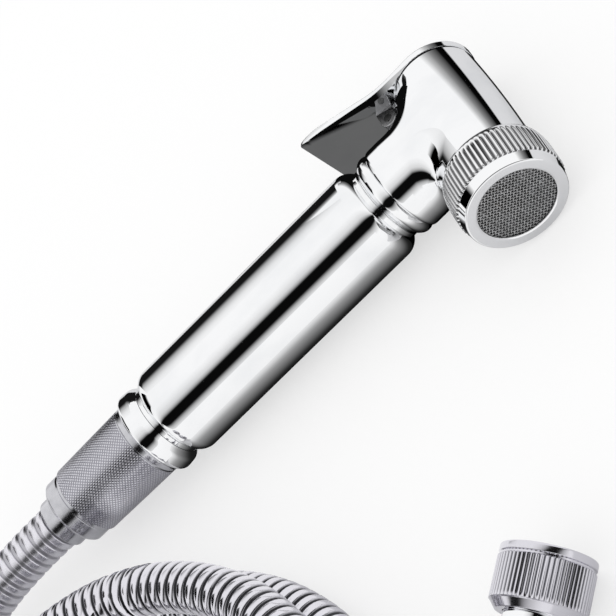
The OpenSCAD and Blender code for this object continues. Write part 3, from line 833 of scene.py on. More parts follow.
@dataclass
class Studio:
    """Camera, floor, world and the dark flags that only reflections show.

    Attributes:
        datum: Places in the frame.
        camera_at: Where the camera stands, from the crossing.
        camera_back: Direction from the scene back to the camera.
        camera_up: The camera's upward direction.
        lens: Focal length on a 36 mm sensor.
        floor_size: Side of the floor.
        floor_pale: Colour of the floor under plain light.
        floor_in_metal: Colour of the floor in reflections.
        shadow_lift: Share of plain white in what the camera sees of the floor.
        flag_foot: Height of the flags' feet, just over the floor.
    """

    datum: Datum
    camera_at: Point = (111.6, -422.8, 415.8)
    camera_back: Point = (0.2877, -0.6767, 0.6778)
    camera_up: Point = (0.6712, 0.6472, 0.3613)
    lens: float = 131.94
    floor_size: float = 6000.0
    floor_pale: Color = (0.9, 0.9, 0.9)
    floor_in_metal: Color = (0.74, 0.74, 0.75)
    shadow_lift: float = 0.6
    flag_foot: float = -15.4

    def camera(self) -> None:
        """Set up the camera."""
        data = bpy.data.cameras.new("camera")
        data.lens = self.lens
        data.sensor_width = 36.0
        data.clip_start = 0.01
        data.clip_end = 20.0
        back = Vector(self.camera_back).normalized()
        right = Vector(self.camera_up).cross(back).normalized()
        turn = Matrix((right, back.cross(right), back)).transposed().to_4x4()
        camera = link("camera", data)
        camera.matrix_world = Matrix.Translation(self.datum.point(*self.camera_at)) @ turn
        bpy.context.scene.camera = camera

    def world(self) -> None:
        """Fill the room with plain white light."""
        world = bpy.data.worlds.new("white_room")
        world.use_nodes = True
        background = world.node_tree.nodes["Background"]
        background.inputs["Color"].default_value = (1, 1, 1, 1)
        background.inputs["Strength"].default_value = 1.0
        bpy.context.scene.world = world
        bpy.context.scene.view_settings.view_transform = "Standard"

    def floor(self) -> None:
        """Lay a plain pale floor that shows white to the camera and keeps the shadow."""
        bm = bmesh.new()
        bmesh.ops.create_grid(bm, x_segments=1, y_segments=1, size=self.floor_size / 2)
        floor = settle(bm, "floor", Matrix.Scale(MM, 4), even=False)
        graph = Graph("floor_paper")
        ray = graph.add("ShaderNodeLightPath")
        pale = graph.blend(ray.outputs["Is Glossy Ray"], self.floor_pale, self.floor_in_metal)
        mix = graph.add("ShaderNodeMix", data_type="RGBA")
        graph.join(ray.outputs["Is Camera Ray"], mix.inputs["Factor"])
        graph.join(pale, mix.inputs["A"])
        mix.inputs["B"].default_value = (1, 1, 1, 1)
        shader = graph.add("ShaderNodeBsdfDiffuse")
        graph.join(mix.outputs["Result"], shader.inputs["Color"])
        paper = graph.add("ShaderNodeEmission")
        soften = graph.add("ShaderNodeMixShader")
        share = graph.ranged(ray.outputs["Is Camera Ray"], 0, 1, 0, self.shadow_lift)
        graph.join(share, soften.inputs["Fac"])
        graph.join(shader.outputs["BSDF"], soften.inputs[1])
        graph.join(paper.outputs["Emission"], soften.inputs[2])
        graph.join(soften.outputs["Shader"], graph.output.inputs["Surface"])
        floor.data.materials.append(graph.material)

    def flag(
        self,
        name: str,
        corners: Sequence[Point],
        stops: Sequence[Pair],
        one_sided: bool = False,
    ) -> None:
        """Stand a flag that only reflections show.

        Args:
            name: The flag's name.
            corners: Its four corners from the crossing, the first two along its foot.
            stops: Shares of its height with the brightness there.
            one_sided: Whether its back lets everything through.
        """
        bm = bmesh.new()
        face = bm.faces.new([bm.verts.new(self.datum.point(*c)) for c in corners])
        layer = bm.loops.layers.uv.new("height")
        for loop, height in zip(face.loops, (0, 0, 1, 1)):
            loop[layer].uv = (0, height)
        flag = settle(bm, name, Matrix.Identity(4), even=False)
        graph = Graph(name)
        uv = graph.add("ShaderNodeUVMap", uv_map="height")
        split = graph.add("ShaderNodeSeparateXYZ")
        graph.join(uv.outputs["UV"], split.inputs["Vector"])
        glow = graph.add("ShaderNodeEmission")
        graph.join(graph.ramp(split.outputs["Y"], stops), glow.inputs["Color"])
        shown = glow.outputs["Emission"]
        if one_sided:
            side = graph.add("ShaderNodeNewGeometry")
            clear = graph.add("ShaderNodeBsdfTransparent")
            either = graph.add("ShaderNodeMixShader")
            graph.join(side.outputs["Backfacing"], either.inputs["Fac"])
            graph.join(shown, either.inputs[1])
            graph.join(clear.outputs["BSDF"], either.inputs[2])
            shown = either.outputs["Shader"]
        graph.join(shown, graph.output.inputs["Surface"])
        flag.data.materials.append(graph.material)
        flag.visible_camera = False
        flag.visible_diffuse = False
        flag.visible_shadow = False
        flag.visible_transmission = False

    @staticmethod
    def upright(first: Pair, last: Pair, low: float, high: float) -> list[Point]:
        """Corners of a flag that stands over the line from one place to another."""
        return [(*first, low), (*last, low), (*last, high), (*first, high)]

    @staticmethod
    def lying(corners: Sequence[Pair], height: float) -> list[Point]:
        """Corners of a flag that lies at one height."""
        return [(*corner, height) for corner in corners]

    def flags(self) -> None:
        """Stand the flags that draw the dark lines and soft greys in the chrome."""
        foot = self.flag_foot
        pale = [(0.0, 0.95), (1.0, 1.0)]
        upright, lying = self.upright, self.lying
        self.flag(
            "flag_by_camera",
            [(-2600, -343, 60), (2600, -343, 60), (2600, -60, 343), (-2600, -60, 343)],
            [
                (0.0, 1.0), (0.055, 0.92), (0.12, 0.78), (0.18, 0.64), (0.24, 0.44), (0.27, 0.31),
                (0.295, 0.16), (0.322, 0.05), (0.335, 0.003), (0.556, 0.003), (0.571, 0.05), (0.596, 0.21),
                (0.622, 0.38), (0.648, 0.51), (0.7, 0.72), (0.84, 0.9), (1.0, 1.0),
            ],
        )
        self.flag(
            "flag_behind_handle",
            upright((-196, 120), (-84, 120), foot, 240),
            [
                (0.0, 0.008), (0.275, 0.008), (0.325, 0.14), (0.36, 0.3), (0.4, 0.44), (0.44, 0.52),
                (0.52, 0.7), (0.61, 0.83), (0.72, 0.905), (0.96, 0.98), (1.0, 1.0),
            ],
        )
        self.flag(
            "flag_behind_collar",
            upright((-84, 120), (-60, 120), foot, 88),
            [(0.0, 0.008), (0.67, 0.008), (0.77, 0.14), (0.85, 0.3), (0.92, 0.55), (1.0, 0.85)],
        )
        self.flag(
            "flag_behind_neck",
            upright((-60, 120), (-20, 120), foot, 28),
            [(0.0, 0.008), (0.6, 0.008), (0.75, 0.2), (1.0, 1.0)],
        )
        self.flag(
            "flag_behind_head",
            upright((-20, 120), (60, 120), foot, 30),
            [(0.0, 0.0), (0.7, 0.0), (1.0, 0.6)],
        )
        self.flag(
            "flag_behind_barrel",
            upright((-40, 140), (125, -20), 6.5, 56.5),
            [
                (0.0, 0.7), (0.043, 0.0), (0.262, 0.003), (0.315, 0.05), (0.37, 0.085), (0.47, 0.156),
                (0.58, 0.25), (0.684, 0.41), (0.79, 0.55), (0.895, 0.76), (1.0, 0.96),
            ],
        )
        self.flag(
            "flag_under_barrel",
            lying([(-4, 60), (-4, -13), (18.5, -13), (18.5, 60)], foot),
            [(0.0, 0.0), (0.95, 0.01), (1.0, 0.6)],
        )
        self.flag(
            "flag_under_handle",
            lying([(-131, -4), (-18, -4), (-22, -52), (-131, -52)], foot + 0.1),
            [
                (0.0, 0.01), (0.13, 0.012), (0.163, 0.021), (0.193, 0.04), (0.222, 0.067), (0.25, 0.1),
                (0.307, 0.16), (0.37, 0.23), (0.44, 0.3), (0.525, 0.43), (0.57, 0.52), (0.63, 0.62),
                (0.76, 0.78), (0.94, 0.9), (1.0, 0.95),
            ],
        )
        self.flag(
            "flag_under_lever",
            lying([(-90, 4.2), (-8, -13), (-8, 35), (-90, 52.2)], foot + 0.2),
            [(0.0, 0.0), (0.25, 0.0), (0.28, 0.13), (1.0, 0.13)],
        )
        self.flag(
            "flag_under_ring",
            lying([(-6, -13), (-6, -33), (22, -33), (22, -13)], foot + 0.3),
            [(0.0, 0.01), (1.0, 0.01)],
        )
        self.flag(
            "flag_inside_lever",
            upright((-39, 28.1), (-5, 16.2), -11, 12.8),
            [(0.0, 0.004), (1.0, 0.004)],
            one_sided=True,
        )
        self.flag("flag_before_coil", upright((-330, -45.5), (-28, -45.5), foot, 17), pale)
        self.flag("flag_before_ring", upright((-36, -68), (60, -68), foot, 5), pale)
        beside = [(-40, -51), (-24, -51), (-24, -69), (-40, -69)]
        self.flag("flag_beside_ring", lying(beside, foot + 0.2), pale)
        self.flag("flag_before_end_nut", upright((-80, -100), (-2, -100), foot, 13), pale)
        self.flag("flag_beside_nut", upright((-150, -17), (-150, -53), foot, 17), pale)
        self.flag(
            "flag_down_handle",
            upright((-1467, 250), (-1115, 1004), 240, 1570),
            [(0.0, 0.0), (0.62, 0.0), (1.0, 1.0)],
        )

    def build(self) -> None:
        """Build the whole studio."""
        self.world()
        self.floor()
        self.flags()
        LOG.info("studio ready")


# ---- hose ----


@dataclass
class Hose(Maker):
    """The ribbed hose: a bend off the handset, a round coil and a tail to the end fitting.

    Attributes:
        radius: Radius on the ribs.
        groove: Radius in the grooves.
        pitch: Distance from rib to rib.
        exit_at: Where the hose leaves the handset's sleeve, down the handle.
        run: Route points between handset and coil.
        tail: Route points between coil and end sleeve.
        middle: The coil's middle.
        start: Direction of the coil's first point, in degrees.
        coil_r: Radius of the outer turn.
        turn_pitch: Distance from turn to turn.
        turns: Number of turns.
        inward: Turns after which the spiral reverses.
        climb: Turns from which and to which the coil climbs to its second layer.
        layers: Height of the first layer and rise to the second.
        end_reach: Length of nut and sleeve beyond the hose's end.
        sides: Sides of the tube.
        rib: One rib as shares of its pitch with its share of the full height.
        open_to: Length of the first stretch, whose grooves are painted lighter, as painted light, and which
            takes the second, rougher hose finish.
        open_fade: Length over which that painted light fades after it.
        painted_groove_light: Least relief value in the first stretch, which paints its grooves lighter.
    """

    radius: float = 7.0
    groove: float = 6.3
    pitch: float = 3.5
    exit_at: float = 164.6
    run: tuple[Point, ...] = (
        (-193.5, -1.1, -0.5),
        (-208.8, -4.2, -2.1),
        (-224, -10.5, -4),
        (-236.1, -18.8, -5.7),
        (-245.9, -29.3, -6.9),
        (-253.2, -41.7, -7.3),
    )
    tail: tuple[Point, ...] = (
        (-118.3, -188.4, 5.7),
        (-104.2, -181.7, 3.3),
        (-91.9, -172.1, 0.3),
        (-79.8, -158.7, -2.7),
    )
    middle: Pair = (-181, -114)
    start: float = 160.0
    coil_r: float = 88.0
    turn_pitch: float = 14.8
    turns: float = 2.34
    inward: float = 1.25
    climb: Pair = (1.0, 1.5)
    layers: Pair = (-7.4, 14.6)
    end_reach: float = 28.5
    sides: int = 32
    rib: tuple[Pair, ...] = (
        (0.0, 0.0),
        (0.24, 0.0),
        (0.31, 0.75),
        (0.42, 1.0),
        (0.82, 1.0),
        (0.93, 0.75),
    )
    open_to: float = 95.0
    open_fade: float = 30.0
    painted_groove_light: float = 0.52

    def turn_radius(self, f: float) -> float:
        """Radius of the coil after f turns."""
        wound = f if f < self.inward else 2 * self.inward - f
        return self.coil_r - self.turn_pitch * wound

    def turn_point(self, f: float) -> np.ndarray:
        """The coil's point after f turns.

        Args:
            f: Number of turns from the coil's start.

        Returns:
            The point, in millimetres from the crossing.
        """
        share = min(1.0, max(0.0, (f - self.climb[0]) / (self.climb[1] - self.climb[0])))
        height = self.layers[0] + self.layers[1] * share * share * (3 - 2 * share)
        angle = math.radians(self.start + 360 * f)
        reach = self.turn_radius(f)
        return np.array(
            [self.middle[0] + reach * math.cos(angle), self.middle[1] + reach * math.sin(angle), height]
        )

    @staticmethod
    def smooth(points: Sequence[np.ndarray], steps: int = 12) -> list[np.ndarray]:
        """Draw a smooth curve through route points.

        Args:
            points: The route points.
            steps: Pieces from each point to the next.

        Returns:
            The curve's points.
        """
        last = len(points) - 1
        curve = []
        for k in range(last):
            a, b, c, d = (points[max(k - 1, 0)], points[k], points[k + 1], points[min(k + 2, last)])
            for j in range(steps):
                q = j / steps
                curve.append(
                    0.5
                    * (
                        2 * b
                        + (c - a) * q
                        + (2 * a - 5 * b + 4 * c - d) * q * q
                        + (3 * b - a - 3 * c + d) * q**3
                    )
                )
        curve.append(points[last])
        return curve

    def centreline(self) -> np.ndarray:
        """The hose's whole centreline, from handset to end sleeve, in millimetres.

        Returns:
            The points, one in a row.
        """
        width = 2 * self.radius
        rings = 96
        count = math.ceil(self.turns * rings)
        coil = [self.turn_point(min(self.turns, k / rings)) for k in range(count + 1)]
        into = (coil[1] - coil[0]) / np.linalg.norm(coil[1] - coil[0])
        out = coil[-1] - coil[-2]
        out[2] = 0
        out /= np.linalg.norm(out)
        exit_point = np.array([-self.exit_at, 0.0, 0.0])
        down = np.array([-width, 0.0, 0.0])
        run = [exit_point, exit_point + down, *map(np.array, self.run)]
        run += [coil[0] - 2 * width * into, coil[0] - width * into]
        axis = np.array(self.datum.end_axis)
        foot = np.array(self.datum.millimetres(self.datum.mouth)) - self.end_reach * axis
        tail = [coil[-1] + width * out, coil[-1] + 2 * width * out, *map(np.array, self.tail)]
        tail += [foot - width * axis, foot]
        points = [*self.smooth(run), *coil, *self.smooth(tail)]
        return np.array(points)

    def build(self) -> None:
        """Build the strap and the hose."""
        self.strap()
        self.winding()

    def winding(self) -> None:
        """Build the hose from end to end."""
        line = self.centreline()
        steps = np.linalg.norm(np.diff(line, axis=0), axis=1)
        marks = np.concatenate([[0], np.cumsum(steps)])
        length = float(marks[-1])
        ribs = round(length / self.pitch)
        cuts = [(k + share, rise) for k in range(ribs) for share, rise in self.rib] + [(ribs, 0.0)]
        along = np.array([cut[0] for cut in cuts]) * length / ribs
        rise = np.array([cut[1] for cut in cuts])
        places = np.stack([np.interp(along, marks, line[:, k]) for k in range(3)], axis=1)
        heading = np.gradient(places, axis=0)
        heading /= np.linalg.norm(heading, axis=1)[:, None]
        side = np.cross(heading, [0, 0, 1])
        side /= np.linalg.norm(side, axis=1)[:, None]
        upward = np.cross(side, heading)

        bm = bmesh.new()
        size = 0.5
        bmesh.ops.create_grid(bm, x_segments=len(cuts) - 1, y_segments=self.sides, size=size)
        open_share = float(np.interp(self.open_to, along, np.linspace(0, 1, len(cuts))))
        # The first stretch takes the second hose finish, whose grooves are painted lighter.
        for face in bm.faces:
            face.material_index = int(face.calc_center_median().x + size < open_share)
        layer = bm.verts.layers.float.new(RELIEF)
        for vert in bm.verts:
            k = round((vert.co.x + size) * (len(cuts) - 1))
            angle = math.tau * round((vert.co.y + size) * self.sides) / self.sides
            reach = self.groove + (self.radius - self.groove) * rise[k]
            # Relief mark: grooves get 0 and are painted dark as shade. Over the first stretch they are
            # lifted to a painted light that fades out after it.
            floor = self.painted_groove_light * min(1.0, max(0.0, (self.open_to - along[k]) / self.open_fade + 1))
            vert[layer] = max(rise[k], floor)
            vert.co = places[k] + reach * (math.cos(angle) * side[k] + math.sin(angle) * upward[k])
        bmesh.ops.remove_doubles(bm, verts=bm.verts, dist=WELD)
        bmesh.ops.holes_fill(bm, edges=[e for e in bm.edges if e.is_boundary], sides=0)
        bmesh.ops.recalc_face_normals(bm, faces=bm.faces)
        place = Matrix.Translation(self.datum.crossing) @ Matrix.Scale(MM, 4)
        hose = settle(bm, "ribbed_hose", place, sharp=60, even=False)
        dress(hose, self.wardrobe.winding, Body.HANDSET, Slot.WINDING, "hose_run", "hose_coil", "hose_tail")
        hose.data.materials.append(self.wardrobe.open_winding)
        path = [list(self.datum.point(*p)) for p in line]
        LOG.info("hose is %.0f mm long with %d ribs", length, ribs)

    def strap(self) -> None:
        """Build the strap that holds the coil."""
        gap = 0.5
        thick = 0.6
        width = 8.0
        rings = 24
        turn = 1 / rings
        held = []
        for k in range(math.floor(self.turns) + 1):
            if k + turn <= self.turns:
                held.append((self.turn_radius(k + turn), self.turn_point(k + turn)[2]))
        outline = []
        sides = 96
        for k in range(sides):
            angle = math.tau * k / sides
            normal = (math.cos(angle), math.sin(angle))
            far = max(held, key=lambda c: c[0] * normal[0] + c[1] * normal[1])
            reach = self.radius + gap
            outline.append((far[0] + reach * normal[0], far[1] + reach * normal[1]))
        bm = bmesh.new()
        ring = [bm.verts.new((x, -width / 2, z)) for x, z in outline]
        edges = [bm.edges.new((a, b)) for a, b in zip(ring, [*ring[1:], ring[0]])]
        lifted = bmesh.ops.extrude_edge_only(bm, edges=edges)
        moved = [item for item in lifted["geom"] if isinstance(item, BMVert)]
        bmesh.ops.translate(bm, verts=moved, vec=(0, width, 0))
        bmesh.ops.recalc_face_normals(bm, faces=bm.faces)
        middle = Vector((sum(c[0] for c in held), 0, sum(c[1] for c in held))) / len(held)
        face = next(iter(bm.faces))
        if face.normal.dot(face.calc_center_median() - middle) < 0:
            bmesh.ops.reverse_faces(bm, faces=bm.faces)
        bmesh.ops.solidify(bm, geom=bm.faces, thickness=-thick)
        angle = math.radians(self.start + 360 * turn)
        place = (
            Matrix.Translation(self.datum.point(*self.middle, 0))
            @ Matrix.Rotation(angle, 4, "Z")
            @ Matrix.Scale(MM, 4)
        )
        strap = settle(bm, "coil_strap", place)
        dress(strap, self.wardrobe.strap, Body.HANDSET, Slot.STRAP, "coil_tie")


# ---- end fitting ----


@dataclass
class EndFitting(Maker):
    """Sleeve and swivel nut at the hose's free end, measured back from the mouth.

    Attributes:
        nut_r: Radius of the nut.
        nut_len: Length of the nut.
        bore_r: Radius of the thread's bore.
        thread_len: Length of the thread.
        thread_pitch: Pitch of the thread.
        thread_depth: Depth of the thread.
        sleeve_r: Radius of the sleeve.
        sleeve_show: Length of the sleeve that shows.
        flutes: Number of flutes round the nut.
    """

    nut_r: float = 12.0
    nut_len: float = 16.0
    bore_r: float = 10.45
    thread_len: float = 9.0
    thread_pitch: float = 1.814
    thread_depth: float = 0.9
    sleeve_r: float = 8.0
    sleeve_show: float = 12.5
    flutes: int = 60

    def nut(self) -> None:
        """Build the nut with its flutes, rim and thread."""
        back = -self.nut_len + 0.3
        hole = self.sleeve_r + 0.15
        outline = rounded(
            [
                (back, hole, 0.2),
                (back, self.nut_r - 1.9, 0.5),
                (back + 2.0, self.nut_r - 0.4, 0.3),
                (back + 2.3, self.nut_r, 0),
                (back + 3.4, self.nut_r, 0),
                (-3.0, self.nut_r, 0),
                (-2.7, self.nut_r - 0.5, 0),
                (-2.3, self.nut_r - 0.5, 0),
                (-2.0, self.nut_r - 0.1, 0.15),
                (0, self.nut_r - 0.1, 0.6),
                (0, self.bore_r, 0.4),
                (-self.thread_len, self.bore_r, 0),
                (-self.thread_len, hole, 0),
            ]
        )
        body = spun(outline, self.flutes * 6)
        flute(body, back + 2.2, -2.9, self.bore_r, 0.4, self.flutes)
        nut = settle(merged([body, self.thread()]), "end_swivel_nut", self.datum.end())
        dress(nut, self.wardrobe.nut, Body.END_NUT, Slot.CHROME, "end_nut")

    def thread(self) -> BMesh:
        """Screw a ridge round the inside of the nut.

        Returns:
            The ridge.
        """
        bm = bmesh.new()
        steps = 40
        turns = (self.thread_len - 1.2) / self.thread_pitch - 0.6
        half = self.thread_pitch * 0.46
        foot = -self.thread_len + 0.3
        section = [
            (self.bore_r + 0.3, foot),
            (self.bore_r - self.thread_depth, foot + half * 0.8),
            (self.bore_r - self.thread_depth, foot + half * 1.1),
            (self.bore_r + 0.3, foot + 2 * half),
        ]
        verts = [bm.verts.new((r, 0, z)) for r, z in section]
        face = bm.faces.new(verts)
        rise = self.thread_pitch / steps
        spin(bm, [face, *face.edges, *verts], math.tau * turns, round(steps * turns), rise)
        bmesh.ops.recalc_face_normals(bm, faces=bm.faces)
        return bm

    def sleeve(self) -> None:
        """Build the crimped sleeve."""
        foot = -self.nut_len - self.sleeve_show
        inner = foot + self.sleeve_show + 2.9
        outline = rounded(
            [
                (foot, 7.05, 0.2),
                (foot, self.sleeve_r - 0.1, 0.5),
                (foot + 2.6, self.sleeve_r, 0.3),
                (foot + 2.9, self.sleeve_r - 0.35, 0.1),
                (foot + 3.5, self.sleeve_r - 0.35, 0.1),
                (foot + 3.8, self.sleeve_r, 0.3),
                (inner, self.sleeve_r, 0.2),
                (inner, 4.75, 0),
                (foot + 1.2, 4.75, 0),
                (foot + 1.2, 7.05, 0),
            ]
        )
        sleeve = settle(spun(outline, 96), "end_sleeve", self.datum.end())
        dress(sleeve, self.wardrobe.chrome, Body.HANDSET, Slot.CHROME, "end_ferrule")

    def build(self) -> None:
        """Build both pieces."""
        self.nut()
        self.sleeve()


# ---- handle ----


@dataclass
class Handle(Maker):
    """Grip, collars, hose nut and sleeve, measured down the handle.

    Attributes:
        bore: Radius of the bore round the water tube.
        grip_r: Radius of the grip.
        step_r: Radius of the step rings at its two ends.
        steps: Steps of the spun shapes.
    """

    bore: float = 6.55
    grip_r: float = 14.2
    step_r: float = 11.6
    steps: int = 160

    def piece(self, name: str, outline: Sequence[Pair], finish: Material, node: str) -> None:
        """Spin and dress one piece of the handle.

        Args:
            name: Its name.
            outline: Its outline, as (down the handle, radius).
            finish: Its material.
            node: The node that it replaces.
        """
        obj = settle(spun(outline, self.steps), name, self.datum.handle())
        dress(obj, finish, Body.HANDSET, Slot.CHROME, node)

    def neck_bead(self) -> None:
        """Build the rounded collar under the neck."""
        corners = [
            (24.85, self.bore, 0),
            (24.85, 12.6, 0.25),
            (26.8, 13.9, 2.6),
            (29.2, 11.9, 1.6),
            (29.6, 10.7, 0.2),
            (29.9, 10.7, 0),
            (29.9, self.bore, 0),
        ]
        self.piece("neck_bead", rounded(corners), self.wardrobe.chrome, "neck_collar")

    def grip(self) -> None:
        """Build the long grip with its rounded shoulders and step rings."""
        step_r, top, foot = self.step_r, 30.5, 118.1
        outline = [
            *rounded([(29.95, self.bore, 0), (29.95, step_r, 0.15), (top, step_r, 0)], closed=False),
            *self.shoulder(top, 5.2, 1),
            *reversed(self.shoulder(foot, 4.6, -1)),
            *rounded([(foot, step_r, 0), (118.95, step_r, 0.15), (118.95, self.bore, 0)], closed=False),
        ]
        self.piece("grip_tube", outline, self.wardrobe.chrome, "grip_sleeve")

    def shoulder(self, at: float, fillet: float, side: int) -> list[Pair]:
        """Quarter-round shoulder of the grip, from its step ring to its full radius.

        Args:
            at: Where the shoulder ends.
            fillet: Its radius.
            side: 1 where the grip runs on down the handle, -1 where it runs up.

        Returns:
            The shoulder's points.
        """
        first = math.acos((self.step_r - self.grip_r + fillet) / fillet)
        points = []
        steps = 12
        for k in range(steps + 1):
            a = first * (1 - k / steps)
            out = self.grip_r - fillet + fillet * math.cos(a)
            points.append((at + side * fillet * (1 - math.sin(a)), out))
        return points

    def inlet_bead(self) -> None:
        """Build the rounded collar at the grip's foot, with the spigot of its thread."""
        corners = [
            (119.0, self.bore, 0),
            (119.0, 11.7, 0.1),
            (119.4, 12.0, 0.3),
            (121.0, 13.35, 2.6),
            (124.6, 13.7, 1.5),
            (125.4, 12.3, 0.4),
            (125.4, 10.4, 0),
            (138.1, 10.4, 0.3),
            (138.1, 4.0, 0),
            (124.6, 4.0, 0),
            (124.6, self.bore, 0),
        ]
        self.piece("inlet_bead", rounded(corners), self.wardrobe.chrome, "inlet_collar")

    def hose_sleeve(self) -> None:
        """Build the crimped sleeve below the hose nut."""
        corners = [
            (142.6, 4.75, 0),
            (142.6, 8.0, 0.2),
            (164.6, 8.0, 0.5),
            (164.6, 7.05, 0.15),
            (163.4, 7.05, 0),
            (163.4, 4.75, 0),
        ]
        self.piece("hose_sleeve", rounded(corners), self.wardrobe.satin, "hose_ferrule")

    def build(self) -> None:
        """Build the handle's pieces."""
        self.neck_bead()
        self.grip()
        self.inlet_bead()
        self.hose_sleeve()


@dataclass
class HoseNut(Maker):
    """The long swivel nut with its cross-cut grip, measured down the handle.

    Attributes:
        top: Where the nut starts.
        band_end: Where its smooth band ends.
        cut_end: Where the cross-cut stretch ends.
        foot: Where its foot collar ends.
        top_r: Radius at the top of the cross-cut stretch.
        foot_r: Radius at its foot.
        cut_depth: Depth of the cross cut.
        columns: Peaks and valleys round the nut.
    """

    top: float = 125.6
    band_end: float = 127.9
    cut_end: float = 153.2
    foot: float = 159.6
    top_r: float = 11.75
    foot_r: float = 11.35
    cut_depth: float = 0.055
    columns: int = 132

    def build(self) -> None:
        """Build the nut."""
        pitch = math.tau * self.top_r / self.columns
        rows = round((self.cut_end - self.band_end) / pitch)
        spacing = (self.cut_end - self.band_end) / rows
        slope = (self.foot_r - self.top_r) / rows
        band = rounded(
            [
                (self.top, 10.5, 0),
                (self.top, self.top_r, 0.35),
                (self.band_end - 0.5, self.top_r, 0.2),
                (self.band_end - 0.3, self.top_r - 0.35, 0),
            ],
            closed=False,
        )
        cut = [(self.band_end + spacing * k, self.top_r + slope * k) for k in range(rows + 1)]
        collar = rounded(
            [
                (self.cut_end + 0.15, self.foot_r - 0.5, 0),
                (self.cut_end + 0.6, 10.35, 0.1),
                (self.cut_end + 1.3, 10.35, 0.1),
                (self.cut_end + 1.6, 10.7, 0.25),
                (self.foot - 0.9, 10.7, 0.4),
                (self.foot, 9.9, 0.2),
                (self.foot, 8.15, 0),
                (142.5, 8.15, 0),
                (142.5, 10.25, 0),
                (138.2, 10.25, 0),
                (138.1, 10.5, 0),
            ],
            closed=False,
        )
        bm = spun([*band, *cut, *collar], self.columns)
        self.cross_cut(bm, pitch, spacing)
        nut = settle(bm, "knurled_hose_nut", self.datum.handle(), sharp=40, even=False)
        dress(nut, self.wardrobe.knurl, Body.HOSE_NUT, Slot.SATIN, "hose_nut")
        self.split_finish(nut)

    def cross_cut(self, bm: BMesh, pitch: float, spacing: float) -> None:
        """Press alternate points of the grip inwards, so that pyramids stand between V grooves.

        Args:
            bm: The spun nut.
            pitch: Distance from column to column; not used.
            spacing: Distance from row to row.
        """
        slack, near = 0.3, 0.01
        cut = set()
        layer = bm.verts.layers.float.new(RELIEF)
        for vert in bm.verts:
            reach = math.hypot(vert.co.x, vert.co.y)
            row = (vert.co.z - self.band_end) / spacing
            if reach < self.foot_r - slack or abs(row - round(row)) > near:
                continue
            if not self.band_end - WELD <= vert.co.z <= self.cut_end + WELD:
                continue
            cut.add(vert)
            column = round(math.atan2(vert.co.y, vert.co.x) / math.tau * self.columns)
            # Relief mark: 1 on the standing peaks, 0 on the pressed points, which the knurl finish paints
            # darker as shade.
            vert[layer] = 1 - (column + round(row)) % 2
            if (column + round(row)) % 2:
                scale = (reach - self.cut_depth) / reach
                vert.co.x *= scale
                vert.co.y *= scale
        faces = [f for f in bm.faces if all(v in cut for v in f.verts)]
        bmesh.ops.triangulate(bm, faces=faces, quad_method="SHORT_EDGE")

    def split_finish(self, nut: Object) -> None:
        """Give the smooth bands a brighter satin and shade the pyramids flat.

        Args:
            nut: The nut.
        """
        nut.data.materials.append(self.wardrobe.satin)
        mesh = nut.data
        for polygon in mesh.polygons:
            down = (self.datum.crossing.x - polygon.center.x) / MM
            cut = self.band_end < down < self.cut_end and len(polygon.vertices) == 3
            polygon.material_index = 0 if cut else 1
            polygon.use_smooth = not cut


# ---- head ----


class Hinge:
    """The lever's hinge, which the head's knuckle and the lever's ears share."""

    BACK = 16.8
    DROP = 15.0
    RADIUS = 2.6

    @classmethod
    def round_end(cls, first: float) -> list[Pair]:
        """Half circle round the hinge's pin.

        Args:
            first: Direction of its first point, in degrees.

        Returns:
            Its points as (up the handle, towards the spray face).
        """
        angles = [math.radians(first + 15 * k) for k in range(13)]
        return [
            (cls.RADIUS * math.cos(a) - cls.DROP, cls.RADIUS * math.sin(a) - cls.BACK) for a in angles
        ]


